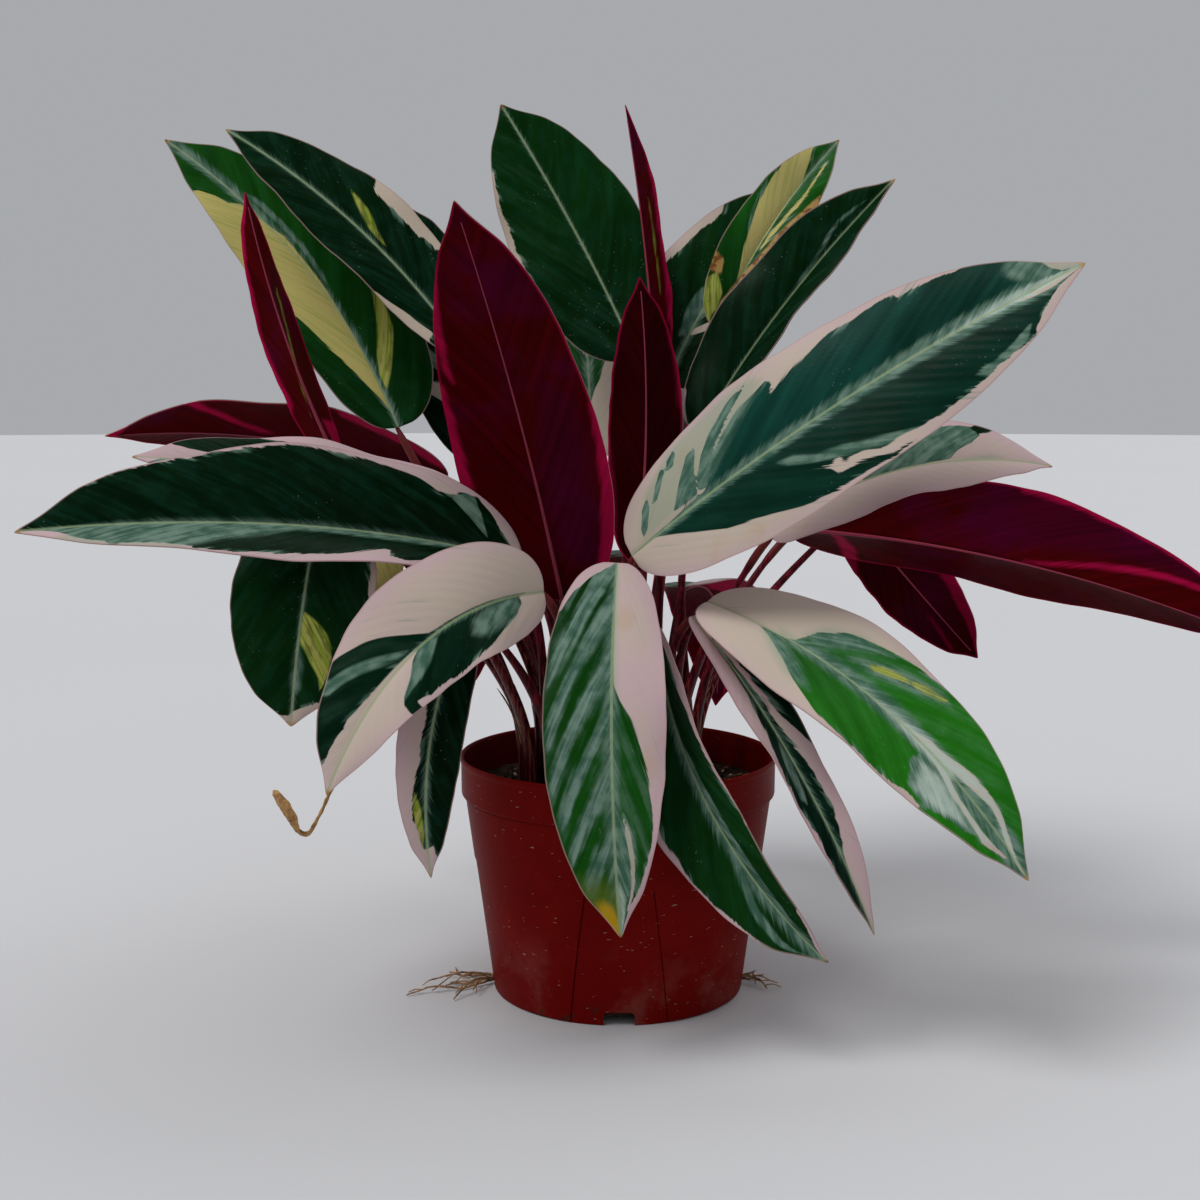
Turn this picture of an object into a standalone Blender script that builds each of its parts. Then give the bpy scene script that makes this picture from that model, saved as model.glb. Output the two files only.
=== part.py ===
"""A potted stromanthe: leaves striped cream, pink and green, wine red beneath, in a red plastic pot.

Metres, +Z up. The origin is the centre of the pot's foot, and the viewer stands on the -Y side.
The leaf table is in millimetres, which is how such a plant is measured with a rule.
"""

import math
from typing import NamedTuple

import bmesh
import bpy
from mathutils import Matrix, Vector, noise

MM = 0.001

# Pot, a 14 cm nursery pot
POT_HEIGHT = 105 * MM
RIM_RADIUS = 70 * MM
RIM_DEPTH = 17 * MM
RIM_STEP = 1.6 * MM
FOOT_RADIUS = 56 * MM
WALL = 1.2 * MM
FLOOR_RAISE = 1.5 * MM
FLOOR_TOP = FLOOR_RAISE + WALL
FOOT_WIDTH = 5.5 * MM
CORNER = 2 * MM
CENTRE_PAD_RADIUS = 38 * MM
POT_SIDES = 40
PANEL_COUNT = 4
PANEL_FOOT_ANGLE = 20
PANEL_TOP_ANGLE = 9
PANEL_TOP = 60 * MM
PANEL_DEPTH = 0.5 * MM
PANEL_CUTTER_THICKNESS = 3 * MM
DRAIN_WIDTH = 13 * MM
DRAIN_HEIGHT = 6 * MM
DRAIN_LENGTH = 16 * MM

# Soil
GAP = 0.3 * MM
SOIL_TOP = 92 * MM
SOIL_RINGS = (16 * MM, 32 * MM, 48 * MM)
SOIL_ROUGHNESS = 2.2 * MM
SOIL_LUMPS_PER_METRE = 45
SOIL_EDGE_DROP = 2.5 * MM
SOIL_SIDES = 28
HOLE_DEPTH = 18 * MM
HOLE_SIDES = 8

# Leaves
BLADE_THICKNESS = 0.8 * MM
BLADE_ROWS = 12
BLADE_COLUMNS = 4
OUTLINE_ROUNDNESS = 2.2
BASE_BLUNTNESS = 0.4
TIP_BLUNTNESS = 0.8
LEFT_WAVE_PHASE = 2.2
STALK_ROOT_RADIUS = 2.5 * MM
STALK_THIN_RADIUS = 1.4 * MM
STALK_JOINT_RADIUS = 1.8 * MM
STALK_JOINT_FROM = 0.86
STALK_STEPS = 8
STALK_FREE_START = 4 * MM
STALK_REACH = 0.35
STALK_LEAN = 0.5
STALK_IN_BLADE = 0.05
STALK_END_SHARE = 0.6

# Withered, curled end of the low leaf on the left: x, y, z, width in millimetres, twist in degrees
WITHERED_LEAF = "leaf_left_low"
WITHERED_ROWS = (
    (-106, -131.5, 120.5, 2.4, 10),
    (-109, -132.5, 113.5, 2.2, 0),
    (-112.5, -132, 107, 2.6, 0),
    (-115, -133, 103.5, 3.4, 0),
    (-117.5, -134, 105, 4.2, 15),
    (-119.5, -135, 109.5, 5.6, 45),
    (-122.5, -135.5, 114.5, 5.2, 60),
    (-126.5, -134, 119.5, 2.6, 70),
)
WITHERED_CURL = 1.1 * MM

# Dry roots that grow out of the drain slots: the points of each, in millimetres
ROOT_RADIUS = 0.7 * MM
ROOT_END_RADIUS = 0.4 * MM
ROOT_TUFTS = {
    "roots_left": (
        ((-50.5, -1, 1.9), (-57, -4, 1.7), (-69, -13, 1.2), (-81, -15, 2.6), (-93, -21, 0.8)),
        ((-50.5, 0, 1.9), (-59, 1, 2.6), (-70, -3, 4.6), (-84, -9, 3.2)),
        ((-50.5, 1, 1.9), (-60, 4, 1.2), (-68, 3, 1), (-77, 9, 0.9)),
        ((-50.5, -0.5, 1.9), (-58, -5, 3.2), (-65, -16, 5.2), (-72, -26, 0.9)),
        ((-50.5, 0.5, 1.9), (-58, 0, 1.2), (-66, -6, 0.9), (-75, -6, 1.2)),
    ),
    "roots_right": (
        ((50.5, 0, 1.9), (57, -3, 1.7), (63, -8, 3.4), (66, -13, 0.9)),
        ((50.5, 0.5, 1.9), (58, 2, 1.2), (66, 1, 2.4)),
        ((50.5, -0.5, 1.9), (57, -1, 3), (62, -3, 5.4)),
    ),
}


class Leaf(NamedTuple):
    """One leaf on its own stalk. Lengths are in millimetres and angles in degrees."""

    name: str
    root: tuple  # x, y where the stalk leaves the soil
    neck: tuple  # x, y, z where the blade starts
    belly: tuple  # x, y, z of the midrib about half way along
    tip: tuple  # x, y, z
    width: float
    face: tuple  # azimuth, elevation that the upper side looks to near the neck; azimuth -90 is the viewer
    tip_face: tuple  # the same near the tip
    fold: float = 12  # how far each half lifts from flat at the midrib
    curl: float = -22  # how far each half turns down again from midrib to edge
    lop: float = 0  # share by which the right half is wider than the left
    widest: float = 0.45  # where along the blade it is widest, from 0 at the neck to 1
    wave: float = 1.6  # height of the edge's waves
    ripples: float = 2.5  # number of waves along an edge


LEAVES = (
    # in front, hanging over the rim
    Leaf("leaf_front_centre", (-4, -38), (-1, -55, 195), (-3.5, -98, 131), (0, -106, 55),
         48, (-90, 40), (-90, 0), lop=0.12),
    Leaf("leaf_front_right", (10, -32), (15, -50, 167), (33, -84, 105), (81, -100, 43),
         40, (-145, 28), (-130, 15), fold=36, lop=0.2),
    Leaf("leaf_right_narrow", (19, -29), (30, -46, 172), (69, -84, 117), (99, -97, 53),
         22, (-70, 30), (-65, 15), fold=30, curl=-18),
    Leaf("leaf_right_low", (25, -20), (36, -46, 178), (96, -92, 147), (153, -118, 81),
         57, (-80, 56), (-72, 30), fold=16, widest=0.4),
    Leaf("leaf_left_low", (-14, -33), (-30, -72, 185), (-79, -121, 165.5), (-107.5, -133, 117.5),
         47, (-100, 8), (-105, 12), fold=16, curl=-26, lop=0.16, widest=0.36),
    Leaf("leaf_left_small", (-26, -27), (-62, -40, 172), (-77, -70, 118), (-75, -84, 72),
         27, (-85, 30), (-80, 0), fold=14),
    Leaf("leaf_left_hanging", (-38, -13), (-124, -20, 227), (-131, -42, 176), (-136, -48, 126),
         60, (-95, 40), (-88, 0), fold=14, widest=0.5),
    Leaf("leaf_left_hidden", (-42, 4), (-112, 14, 219), (-119, 4, 179), (-122, -6, 137),
         46, (-75, 45), (-70, 5)),
    # left side
    Leaf("leaf_left_long", (-25, -15), (-40, -34, 193), (-128, -94, 213), (-219, -128, 213),
         64, (-92, 46), (-90, 46), fold=30, lop=0.12, widest=0.38),
    Leaf("leaf_left_second", (-32, -5), (-57, 2, 214), (-131, -44, 231), (-193, -66, 238),
         48, (-90, 58), (-90, 58), fold=16),
    Leaf("leaf_left_wine", (-34, 16), (-78, 46, 223), (-152, 52, 242), (-233, 34, 244),
         50, (90, 55), (90, 55), fold=20),
    Leaf("leaf_left_upright", (-39, -4), (-120, 0, 228), (-143, -6, 288), (-157, -12, 347),
         27, (112, 10), (112, 10), fold=56, curl=-10),
    Leaf("leaf_upper_left_cream", (-30, 9), (-99, 28, 248), (-136, 50, 311), (-210, 66, 380),
         58, (-75, 30), (-80, 30), fold=14, lop=0.12, widest=0.36),
    Leaf("leaf_upper_left_green", (-21, 1), (-67, 14, 281), (-106, 26, 327), (-175, 36, 380),
         43, (-70, 20), (-75, 30), fold=14, lop=0.15),
    Leaf("leaf_upper_left_dark", (-19, 26), (-58, 66, 230), (-80, 72, 288), (-104, 84, 355),
         50, (-90, 12), (-90, 20)),
    # centre
    Leaf("leaf_centre_wine", (-12, -18), (-24, -14, 175), (-44, -50, 266), (-63, -86, 335),
         63, (85, 25), (90, 45), fold=8, curl=-16, widest=0.34),
    Leaf("leaf_centre_back", (-2, 20), (9, 52, 280), (-15, 70, 330), (-55, 84, 399),
         64, (-95, 20), (-90, 30)),
    Leaf("leaf_centre_spear", (9, 4), (18, 14, 256), (13, 17, 317), (3, 20, 388),
         25, (60, 5), (60, 5), fold=74, curl=0),
    Leaf("leaf_centre_dark", (-1, -5), (8, -4, 190), (12, 0, 252), (9, 2, 313),
         36, (90, 0), (90, 0), fold=36),
    # right side
    Leaf("leaf_right_long", (8, -14), (5, -48, 197), (89, -78, 262), (173, -95, 311),
         66, (-95, 30), (-90, 30)),
    Leaf("leaf_right_second", (25, -10), (65, -18, 204), (126, -42, 234), (178, -40, 233),
         43, (-90, 42), (-90, 50), fold=18, lop=-0.14, widest=0.4),
    Leaf("leaf_right_wine", (33, 1), (79, 12, 204), (176, 18, 189), (277, -12, 157),
         69, (90, 34), (85, 34), fold=38, curl=-14, lop=-0.06, widest=0.42),
    Leaf("leaf_right_wine_low", (34, 13), (110, 54, 208), (142, 64, 172), (172, 58, 138),
         38, (100, 30), (80, 20)),
    Leaf("leaf_upper_right_cream", (14, 17), (46, 48, 293), (61, 56, 324), (103, 66, 380),
         33, (-100, 20), (-90, 20), fold=28),
    Leaf("leaf_upper_right_green", (18, 6), (36, 14, 246), (71, 26, 298), (121, 18, 356),
         40, (-135, 15), (-130, 15), fold=34, lop=-0.2),
    Leaf("leaf_upper_right_back", (8, 30), (24, 66, 267), (45, 80, 309), (94, 90, 360),
         62, (-100, 5), (-90, 20), widest=0.36),
    # behind, mostly out of the photograph's sight
    Leaf("leaf_back_right_low", (24, 28), (32, 62, 172), (52, 130, 156), (56, 182, 92),
         50, (80, 60), (80, 10)),
    Leaf("leaf_back_centre_low", (2, 38), (-6, 66, 186), (-12, 138, 172), (-16, 196, 104),
         54, (90, 60), (90, 10)),
    Leaf("leaf_back_left_low", (-22, 36), (-36, 60, 176), (-68, 122, 158), (-86, 170, 92),
         50, (110, 60), (120, 10)),
    Leaf("leaf_back_left", (-33, 23), (-53, 47, 191), (-115, 108, 213), (-184, 150, 190),
         54, (120, 60), (130, 40)),
    Leaf("leaf_back_right", (32, 22), (38, 52, 214), (98, 112, 246), (164, 166, 226),
         56, (60, 60), (50, 40)),
    Leaf("leaf_back_centre", (-8, 32), (-12, 76, 232), (-16, 126, 306), (-22, 170, 362),
         50, (-90, 60), (-90, 70)),
    Leaf("leaf_back_upper_right", (16, 36), (30, 80, 242), (62, 136, 308), (98, 184, 342),
         50, (-110, 60), (-90, 80)),
    Leaf("leaf_back_upper_left", (-14, 40), (-46, 82, 248), (-80, 136, 308), (-118, 172, 346),
         50, (-70, 60), (-90, 80)),
)


def direction(azimuth, elevation):
    """Unit vector that points to this azimuth, counted from +X, and this elevation, in degrees."""
    a, e = math.radians(azimuth), math.radians(elevation)
    return Vector((math.cos(a) * math.cos(e), math.sin(a) * math.cos(e), math.sin(e)))


def midrib(leaf, along):
    """Point and direction of the midrib, on the one parabola through neck, belly and tip."""
    neck, belly, tip = (Vector(p) * MM for p in (leaf.neck, leaf.belly, leaf.tip))
    m = (belly - neck).length / ((belly - neck).length + (tip - belly).length)
    slope = (belly - neck) / m
    bend = (tip - belly) / (1 - m) - slope
    point = neck + slope * along + bend * along * (along - m)
    tangent = slope + bend * (2 * along - m)
    return point, tangent.normalized()


def outline(along, widest):
    """Half width of a blade as a share of its widest: a round base and a pointed tip."""
    if along < widest:
        return (1 - (1 - along / widest) ** OUTLINE_ROUNDNESS) ** BASE_BLUNTNESS
    return max(0.0, 1 - ((along - widest) / (1 - widest)) ** OUTLINE_ROUNDNESS) ** TIP_BLUNTNESS


def blade_point(leaf, along, across):
    """Point of the middle surface: along from 0 at the neck to 1, across from -1 at the left edge to 1."""
    point, tangent = midrib(leaf, along)
    looks = direction(*leaf.face).lerp(direction(*leaf.tip_face), along)
    normal = (looks - tangent * looks.dot(tangent)).normalized()
    right = tangent.cross(normal)
    side, out = math.copysign(1, across), abs(across)
    half = leaf.width / 2 * MM * outline(along, leaf.widest) * (1 + side * leaf.lop)
    start, turn = math.radians(leaf.fold), math.radians(leaf.curl) or 1e-6
    sideways = (math.sin(start + turn * out) - math.sin(start)) / turn
    upwards = (math.cos(start) - math.cos(start + turn * out)) / turn
    phase = 2 * math.pi * leaf.ripples * along + (0 if side > 0 else LEFT_WAVE_PHASE)
    ripple = leaf.wave * MM * out**2 * math.sin(phase) * math.sin(math.pi * along)
    return point + right * (side * half * sideways) + normal * (half * upwards + ripple)


def stalk_radius(share):
    """Radius of a stalk: it thins from the soil upwards, and swells at the joint below the blade."""
    if share > STALK_JOINT_FROM:
        return STALK_JOINT_RADIUS
    return STALK_ROOT_RADIUS + (STALK_THIN_RADIUS - STALK_ROOT_RADIUS) * share / STALK_JOINT_FROM


def stalk_points(leaf):
    """Centre line of the stalk, from inside the soil to just past the neck, with its radii."""
    ground = Vector((*leaf.root, 0)) * MM
    foot = ground + Vector((0, 0, SOIL_TOP - HOLE_DEPTH + GAP))
    start = ground + Vector((0, 0, SOIL_TOP + STALK_FREE_START))
    neck, tangent = midrib(leaf, 0)
    outward = Vector((leaf.neck[0], leaf.neck[1], 0)).normalized()
    arrival = (Vector((0, 0, 1)) + (outward + tangent) * STALK_LEAN).normalized()
    reach = (neck - start).length * STALK_REACH
    rise = start + Vector((0, 0, reach))
    lean = neck - arrival * reach
    points = [(foot, STALK_ROOT_RADIUS)]
    for step in range(STALK_STEPS + 1):
        t = step / STALK_STEPS
        here = start * (1 - t) ** 3 + rise * 3 * t * (1 - t) ** 2 + lean * 3 * t**2 * (1 - t) + neck * t**3
        points.append((here, stalk_radius(t)))
    inside, _ = midrib(leaf, STALK_IN_BLADE)
    points.append((inside, STALK_THIN_RADIUS * STALK_END_SHARE))
    return points


def material(name, colour, roughness):
    """A Principled material of one colour."""
    made = bpy.data.materials.new(name)
    made.use_nodes = True
    shader = made.node_tree.nodes["Principled BSDF"]
    shader.inputs["Base Color"].default_value = (*colour, 1)
    shader.inputs["Roughness"].default_value = roughness
    return made


def add_object(name, mesh, collection, finish=None):
    """A new object of this mesh in the collection."""
    made = bpy.data.objects.new(name, mesh)
    collection.objects.link(made)
    if finish:
        mesh.materials.append(finish)
    return made


def mesh_from(bm, name):
    mesh = bpy.data.meshes.new(name)
    bm.to_mesh(mesh)
    bm.free()
    return mesh


def baked(source, name):
    """The mesh of an object as its modifiers leave it, with doubles merged. The object is removed."""
    graph = bpy.context.evaluated_depsgraph_get()
    mesh = bpy.data.meshes.new_from_object(source.evaluated_get(graph))
    mesh.transform(source.matrix_world)
    bm = bmesh.new()
    bm.from_mesh(mesh)
    bmesh.ops.remove_doubles(bm, verts=bm.verts, dist=0.00001)
    bmesh.ops.recalc_face_normals(bm, faces=bm.faces)
    bm.to_mesh(mesh)
    bm.free()
    mesh.name = name
    bpy.data.objects.remove(source)
    return mesh


def tube(name, points, collection, resolution=1):
    """A mesh tube with closed ends along points, a list of place and radius."""
    data = bpy.data.curves.new(name, "CURVE")
    data.dimensions = "3D"
    data.bevel_depth = 1
    data.bevel_resolution = resolution
    data.use_fill_caps = True
    spline = data.splines.new("POLY")
    spline.points.add(len(points) - 1)
    for target, (place, radius) in zip(spline.points, points):
        target.co = (*place, 1)
        target.radius = radius
    line = add_object(name, data, collection)
    bpy.context.view_layer.update()
    return add_object(name, baked(line, name), collection)


def join(target, other):
    """Boolean union of other into target, applied. Other is removed."""
    union = target.modifiers.new("union", "BOOLEAN")
    union.operation = "UNION"
    union.solver = "MANIFOLD"
    union.object = other
    bpy.context.view_layer.update()
    name, collection = target.name, target.users_collection[0]
    target.name = name + "_before"
    mesh = baked(target, name)
    bpy.data.objects.remove(other)
    return add_object(name, mesh, collection)


def cut(target, cutters):
    """Leaves a Boolean difference with a collection of cutters on the target."""
    difference = target.modifiers.new("cut " + cutters.name, "BOOLEAN")
    difference.operation = "DIFFERENCE"
    difference.operand_type = "COLLECTION"
    difference.collection = cutters
    for cutter in cutters.objects:
        cutter.hide_render = True
        cutter.display_type = "WIRE"


def turned(name, profile, sides, collection, finish):
    """A turned shape: the profile, (radius, height) pairs from axis to axis, swept once round Z."""
    mesh = bpy.data.meshes.new(name)
    chain = [(i, i + 1) for i in range(len(profile) - 1)]
    mesh.from_pydata([(r, 0, z) for r, z in profile], chain, [])
    made = add_object(name, mesh, collection, finish)
    screw = made.modifiers.new("turn", "SCREW")
    screw.steps = screw.render_steps = sides
    screw.use_merge_vertices = True
    screw.merge_threshold = 0.0001
    return made


def body_radius(height):
    """Outer radius of the pot's tapered body at this height."""
    top = RIM_RADIUS - RIM_STEP - 0.6 * MM
    return FOOT_RADIUS + (top - FOOT_RADIUS) * height / (POT_HEIGHT - RIM_DEPTH)


def pot_profile():
    """Section of the pot from the axis on its inner floor, over the rim, to the axis under the floor."""
    rim_bottom = POT_HEIGHT - RIM_DEPTH
    return (
        (0, FLOOR_TOP),
        (body_radius(FLOOR_TOP) - WALL - CORNER, FLOOR_TOP),
        (body_radius(FLOOR_TOP + CORNER) - WALL, FLOOR_TOP + CORNER),
        (body_radius(rim_bottom) - WALL, rim_bottom),
        (RIM_RADIUS - 1.8 * MM, POT_HEIGHT - 1 * MM),
        (RIM_RADIUS - 1.2 * MM, POT_HEIGHT),
        (RIM_RADIUS - 0.4 * MM, POT_HEIGHT),
        (RIM_RADIUS, POT_HEIGHT - 0.8 * MM),
        (RIM_RADIUS - 0.6 * MM, rim_bottom + 0.6 * MM),
        (RIM_RADIUS - 1.0 * MM, rim_bottom),
        (body_radius(rim_bottom), rim_bottom),
        (body_radius(1 * MM), 1 * MM),
        (FOOT_RADIUS - 0.8 * MM, 0),
        (FOOT_RADIUS - FOOT_WIDTH, 0),
        (FOOT_RADIUS - FOOT_WIDTH - 1 * MM, FLOOR_RAISE),
        (CENTRE_PAD_RADIUS + 1 * MM, FLOOR_RAISE),
        (CENTRE_PAD_RADIUS, 0),
        (0, 0),
    )


def panel_cutter(angle, collection):
    """A curved plate, narrower at the top, that sinks one shallow panel into the pot's side."""
    bm = bmesh.new()
    bmesh.ops.create_grid(bm, x_segments=6, y_segments=5, size=1)
    for vert in bm.verts:
        rise = (vert.co.y + 1) / 2
        height = (PANEL_TOP + 1 * MM) * rise - 1 * MM
        half = PANEL_FOOT_ANGLE + (PANEL_TOP_ANGLE - PANEL_FOOT_ANGLE) * rise
        turn = math.radians(angle + half * vert.co.x)
        radius = body_radius(height) - PANEL_DEPTH
        vert.co = (radius * math.cos(turn), radius * math.sin(turn), height)
    bmesh.ops.recalc_face_normals(bm, faces=bm.faces)
    plate = add_object(f"panel_cutter_{angle}", mesh_from(bm, "panel_cutter"), collection)
    outward = Vector((math.cos(math.radians(angle)), math.sin(math.radians(angle)), 0))
    shell = plate.modifiers.new("thickness", "SOLIDIFY")
    shell.thickness = PANEL_CUTTER_THICKNESS
    shell.offset = 1 if plate.data.polygons[0].normal.dot(outward) > 0 else -1


def drain_cutter(angle, collection):
    """A block that opens one drain slot through the foot and the bottom of the side."""
    bm = bmesh.new()
    bmesh.ops.create_cube(bm, size=1)
    bmesh.ops.scale(bm, verts=bm.verts, vec=(DRAIN_LENGTH, DRAIN_WIDTH, 2 * DRAIN_HEIGHT))
    bmesh.ops.translate(bm, verts=bm.verts, vec=(FOOT_RADIUS, 0, 0))
    turn = Matrix.Rotation(math.radians(angle), 3, "Z")
    bmesh.ops.rotate(bm, verts=bm.verts, cent=(0, 0, 0), matrix=turn)
    add_object(f"drain_cutter_{angle}", mesh_from(bm, "drain_cutter"), collection)


def make_pot(collection, cutters):
    finish = material("red_plastic", (0.33, 0.045, 0.025), 0.5)
    pot = turned("pot", pot_profile(), POT_SIDES, collection, finish)
    for quarter in range(PANEL_COUNT):
        angle = quarter * 360 // PANEL_COUNT
        panel_cutter(angle, cutters)
        drain_cutter(angle, cutters)
    cut(pot, cutters)


def make_soil(collection, cutters):
    """Soil that fills the pot, lumpy on top, with a plain hole for each stalk."""
    floor = FLOOR_TOP + GAP
    inset = WALL + 2 * GAP
    heights = (SOIL_TOP - CORNER, SOIL_TOP - 4 * CORNER, floor + CORNER)
    profile = [
        (0, SOIL_TOP),
        *((radius, SOIL_TOP) for radius in SOIL_RINGS),
        *((body_radius(height) - inset, height) for height in heights),
        (body_radius(floor) - inset - CORNER, floor),
        (0, floor),
    ]
    finish = material("soil", (0.022, 0.014, 0.009), 0.95)
    mould = turned("soil_mould", profile, SOIL_SIDES, collection, None)
    bpy.context.view_layer.update()
    mesh = baked(mould, "soil")
    for vert in mesh.vertices:
        if vert.co.z > SOIL_TOP - 1 * MM:
            edge = vert.co.xy.length / body_radius(SOIL_TOP)
            lump = noise.noise(vert.co * SOIL_LUMPS_PER_METRE) * SOIL_ROUGHNESS
            vert.co.z += lump - SOIL_EDGE_DROP * edge**4
    soil = add_object("soil", mesh, collection, finish)
    size = (STALK_ROOT_RADIUS + GAP) / math.cos(math.pi / HOLE_SIDES)
    for leaf in LEAVES:
        bm = bmesh.new()
        bmesh.ops.create_cone(
            bm, cap_ends=True, segments=HOLE_SIDES, radius1=size, radius2=size, depth=2 * HOLE_DEPTH
        )
        bmesh.ops.translate(bm, verts=bm.verts, vec=(leaf.root[0] * MM, leaf.root[1] * MM, SOIL_TOP))
        add_object("hole_" + leaf.name, mesh_from(bm, "hole"), cutters)
    cut(soil, cutters)


def thicken(name, bm, collection):
    """A solid sheet of blade thickness about the bmesh's triangulated surface."""
    bmesh.ops.triangulate(bm, faces=bm.faces)
    sheet = add_object(name + "_sheet", mesh_from(bm, name), collection)
    shell = sheet.modifiers.new("thickness", "SOLIDIFY")
    shell.thickness = BLADE_THICKNESS
    shell.offset = 0
    bpy.context.view_layer.update()
    return add_object(name, baked(sheet, name), collection)


def withered_end(collection):
    """The dry curled strip that hangs from the tip of one leaf."""
    bm = bmesh.new()
    last = len(WITHERED_ROWS) - 1
    bmesh.ops.create_grid(bm, x_segments=last, y_segments=2, size=1)
    for vert in bm.verts:
        index = round((vert.co.x + 1) / 2 * last)
        x, y, z, width, twist = WITHERED_ROWS[index]
        before, after = (Vector(WITHERED_ROWS[i][:3]) for i in (max(index - 1, 0), min(index + 1, last)))
        tangent = (after - before).normalized()
        deep = (Vector((0, 1, 0)) - tangent * tangent.y).normalized()
        level = tangent.cross(deep)
        across = deep * math.cos(math.radians(twist)) + level * math.sin(math.radians(twist))
        hollow = tangent.cross(across) * WITHERED_CURL * (1 - abs(vert.co.y)) * width / 5
        vert.co = Vector((x, y, z)) * MM + across * (vert.co.y * width / 2 * MM) + hollow
    return thicken("withered_end", bm, collection)


def make_leaf(leaf, collection, finish):
    """One blade with its stalk, as one solid."""
    bm = bmesh.new()
    bmesh.ops.create_grid(bm, x_segments=BLADE_ROWS, y_segments=BLADE_COLUMNS, size=1)
    for vert in bm.verts:
        even = (vert.co.x + 1) / 2
        along = (even + (1 - math.cos(math.pi * even)) / 2) / 2
        vert.co = blade_point(leaf, along, vert.co.y)
    bmesh.ops.remove_doubles(bm, verts=bm.verts, dist=0.0001)
    made = thicken(leaf.name, bm, collection)
    made = join(made, tube(leaf.name + "_stalk", stalk_points(leaf), collection))
    if leaf.name == WITHERED_LEAF:
        made = join(made, withered_end(collection))
    made.data.materials.append(finish)


def make_roots(name, lines, collection, finish):
    """One tuft of dry roots, fused where they leave the drain slot."""
    made = None
    for number, line in enumerate(lines):
        radii = [ROOT_RADIUS] * (len(line) - 1) + [ROOT_END_RADIUS]
        points = [(Vector(place) * MM, radius) for place, radius in zip(line, radii)]
        wire = tube(f"{name}_{number}", points, collection, 0)
        made = join(made, wire) if made else wire
    made.name = name
    made.data.materials.append(finish)


def make_collection(name):
    made = bpy.data.collections.new(name)
    bpy.context.scene.collection.children.link(made)
    return made


def main():
    for obj in list(bpy.data.objects):
        bpy.data.objects.remove(obj)
    plant = make_collection("potted_stromanthe")
    green = material("leaf_green", (0.03, 0.12, 0.05), 0.4)
    for leaf in LEAVES:
        make_leaf(leaf, plant, green)
    straw = material("dry_root", (0.30, 0.17, 0.08), 0.8)
    for name, lines in ROOT_TUFTS.items():
        make_roots(name, lines, plant, straw)
    make_pot(plant, make_collection("pot_cutters"))
    make_soil(plant, make_collection("stalk_holes"))


main()
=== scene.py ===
"""The looks of a potted stromanthe: striped leaves, wine red beneath, in a red-brown plastic pot.

Metres, +Z up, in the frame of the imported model. The leaf table is in millimetres. A blade is drawn in its own
two numbers: along, from 0 at the neck to 1 at the tip, and side, from -1 at the left edge to 1 at the right.
"""

import math
import random
from functools import lru_cache, partial
from typing import NamedTuple

import bmesh
import bpy
import numpy as np
from bpy.props import FloatProperty, FloatVectorProperty, IntProperty, PointerProperty
from mathutils import Matrix, Vector, noise
from mathutils.kdtree import KDTree


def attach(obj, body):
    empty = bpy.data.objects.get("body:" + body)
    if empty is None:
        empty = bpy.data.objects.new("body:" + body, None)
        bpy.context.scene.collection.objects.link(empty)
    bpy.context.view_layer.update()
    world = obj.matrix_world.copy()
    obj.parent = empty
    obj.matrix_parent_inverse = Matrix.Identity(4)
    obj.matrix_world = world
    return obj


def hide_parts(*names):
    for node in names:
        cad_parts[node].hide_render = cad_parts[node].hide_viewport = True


bl_info = {
    "name": "Potted Stromanthe",
    "version": (1, 0, 0),
    "blender": (4, 5, 0),
    "location": "View3D > Sidebar > Stromanthe",
    "description": "Dresses a packed potted stromanthe with its leaves, stalks, pot, soil and dry roots",
    "category": "Add Mesh",
}

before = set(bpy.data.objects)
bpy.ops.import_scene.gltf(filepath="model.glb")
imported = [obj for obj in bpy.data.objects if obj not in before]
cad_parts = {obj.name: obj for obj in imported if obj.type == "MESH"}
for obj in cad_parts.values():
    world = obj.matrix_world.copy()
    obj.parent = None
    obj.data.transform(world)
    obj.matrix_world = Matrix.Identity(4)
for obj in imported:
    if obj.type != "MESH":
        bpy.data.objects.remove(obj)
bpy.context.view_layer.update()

MM = 0.001

# Pot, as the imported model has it, but for the two panel angles, which are read from the photo again
POT_HEIGHT = 105 * MM
RIM_RADIUS = 70 * MM
RIM_DEPTH = 17 * MM
RIM_STEP = 1.6 * MM
FOOT_RADIUS = 56 * MM
WALL = 1.2 * MM
FLOOR_RAISE = 1.5 * MM
FLOOR_TOP = FLOOR_RAISE + WALL
FOOT_WIDTH = 5.5 * MM
CORNER = 2 * MM
CENTRE_PAD_RADIUS = 38 * MM
PANEL_COUNT = 4
PANEL_FOOT_ANGLE = 22
PANEL_TOP_ANGLE = 13
PANEL_TOP = 60 * MM
PANEL_DEPTH = 0.5 * MM
PANEL_CUTTER_THICKNESS = 3 * MM
PANEL_CUTTER_CUTS = 11  # so that a cutter follows the curve of the side
SEAM_ANGLE = 0.5  # width of the groove along a panel, in degrees
DRAIN_WIDTH = 13 * MM
DRAIN_HEIGHT = 6 * MM
DRAIN_LENGTH = 16 * MM
DRAIN_CORNER = 2 * MM

# Soil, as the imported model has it
GAP = 0.3 * MM
SOIL_TOP = 92 * MM
SOIL_ROUGHNESS = 2.2 * MM
SOIL_LUMPS_PER_METRE = 45
SOIL_EDGE_DROP = 2.5 * MM
HOLE_DEPTH = 18 * MM

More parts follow.
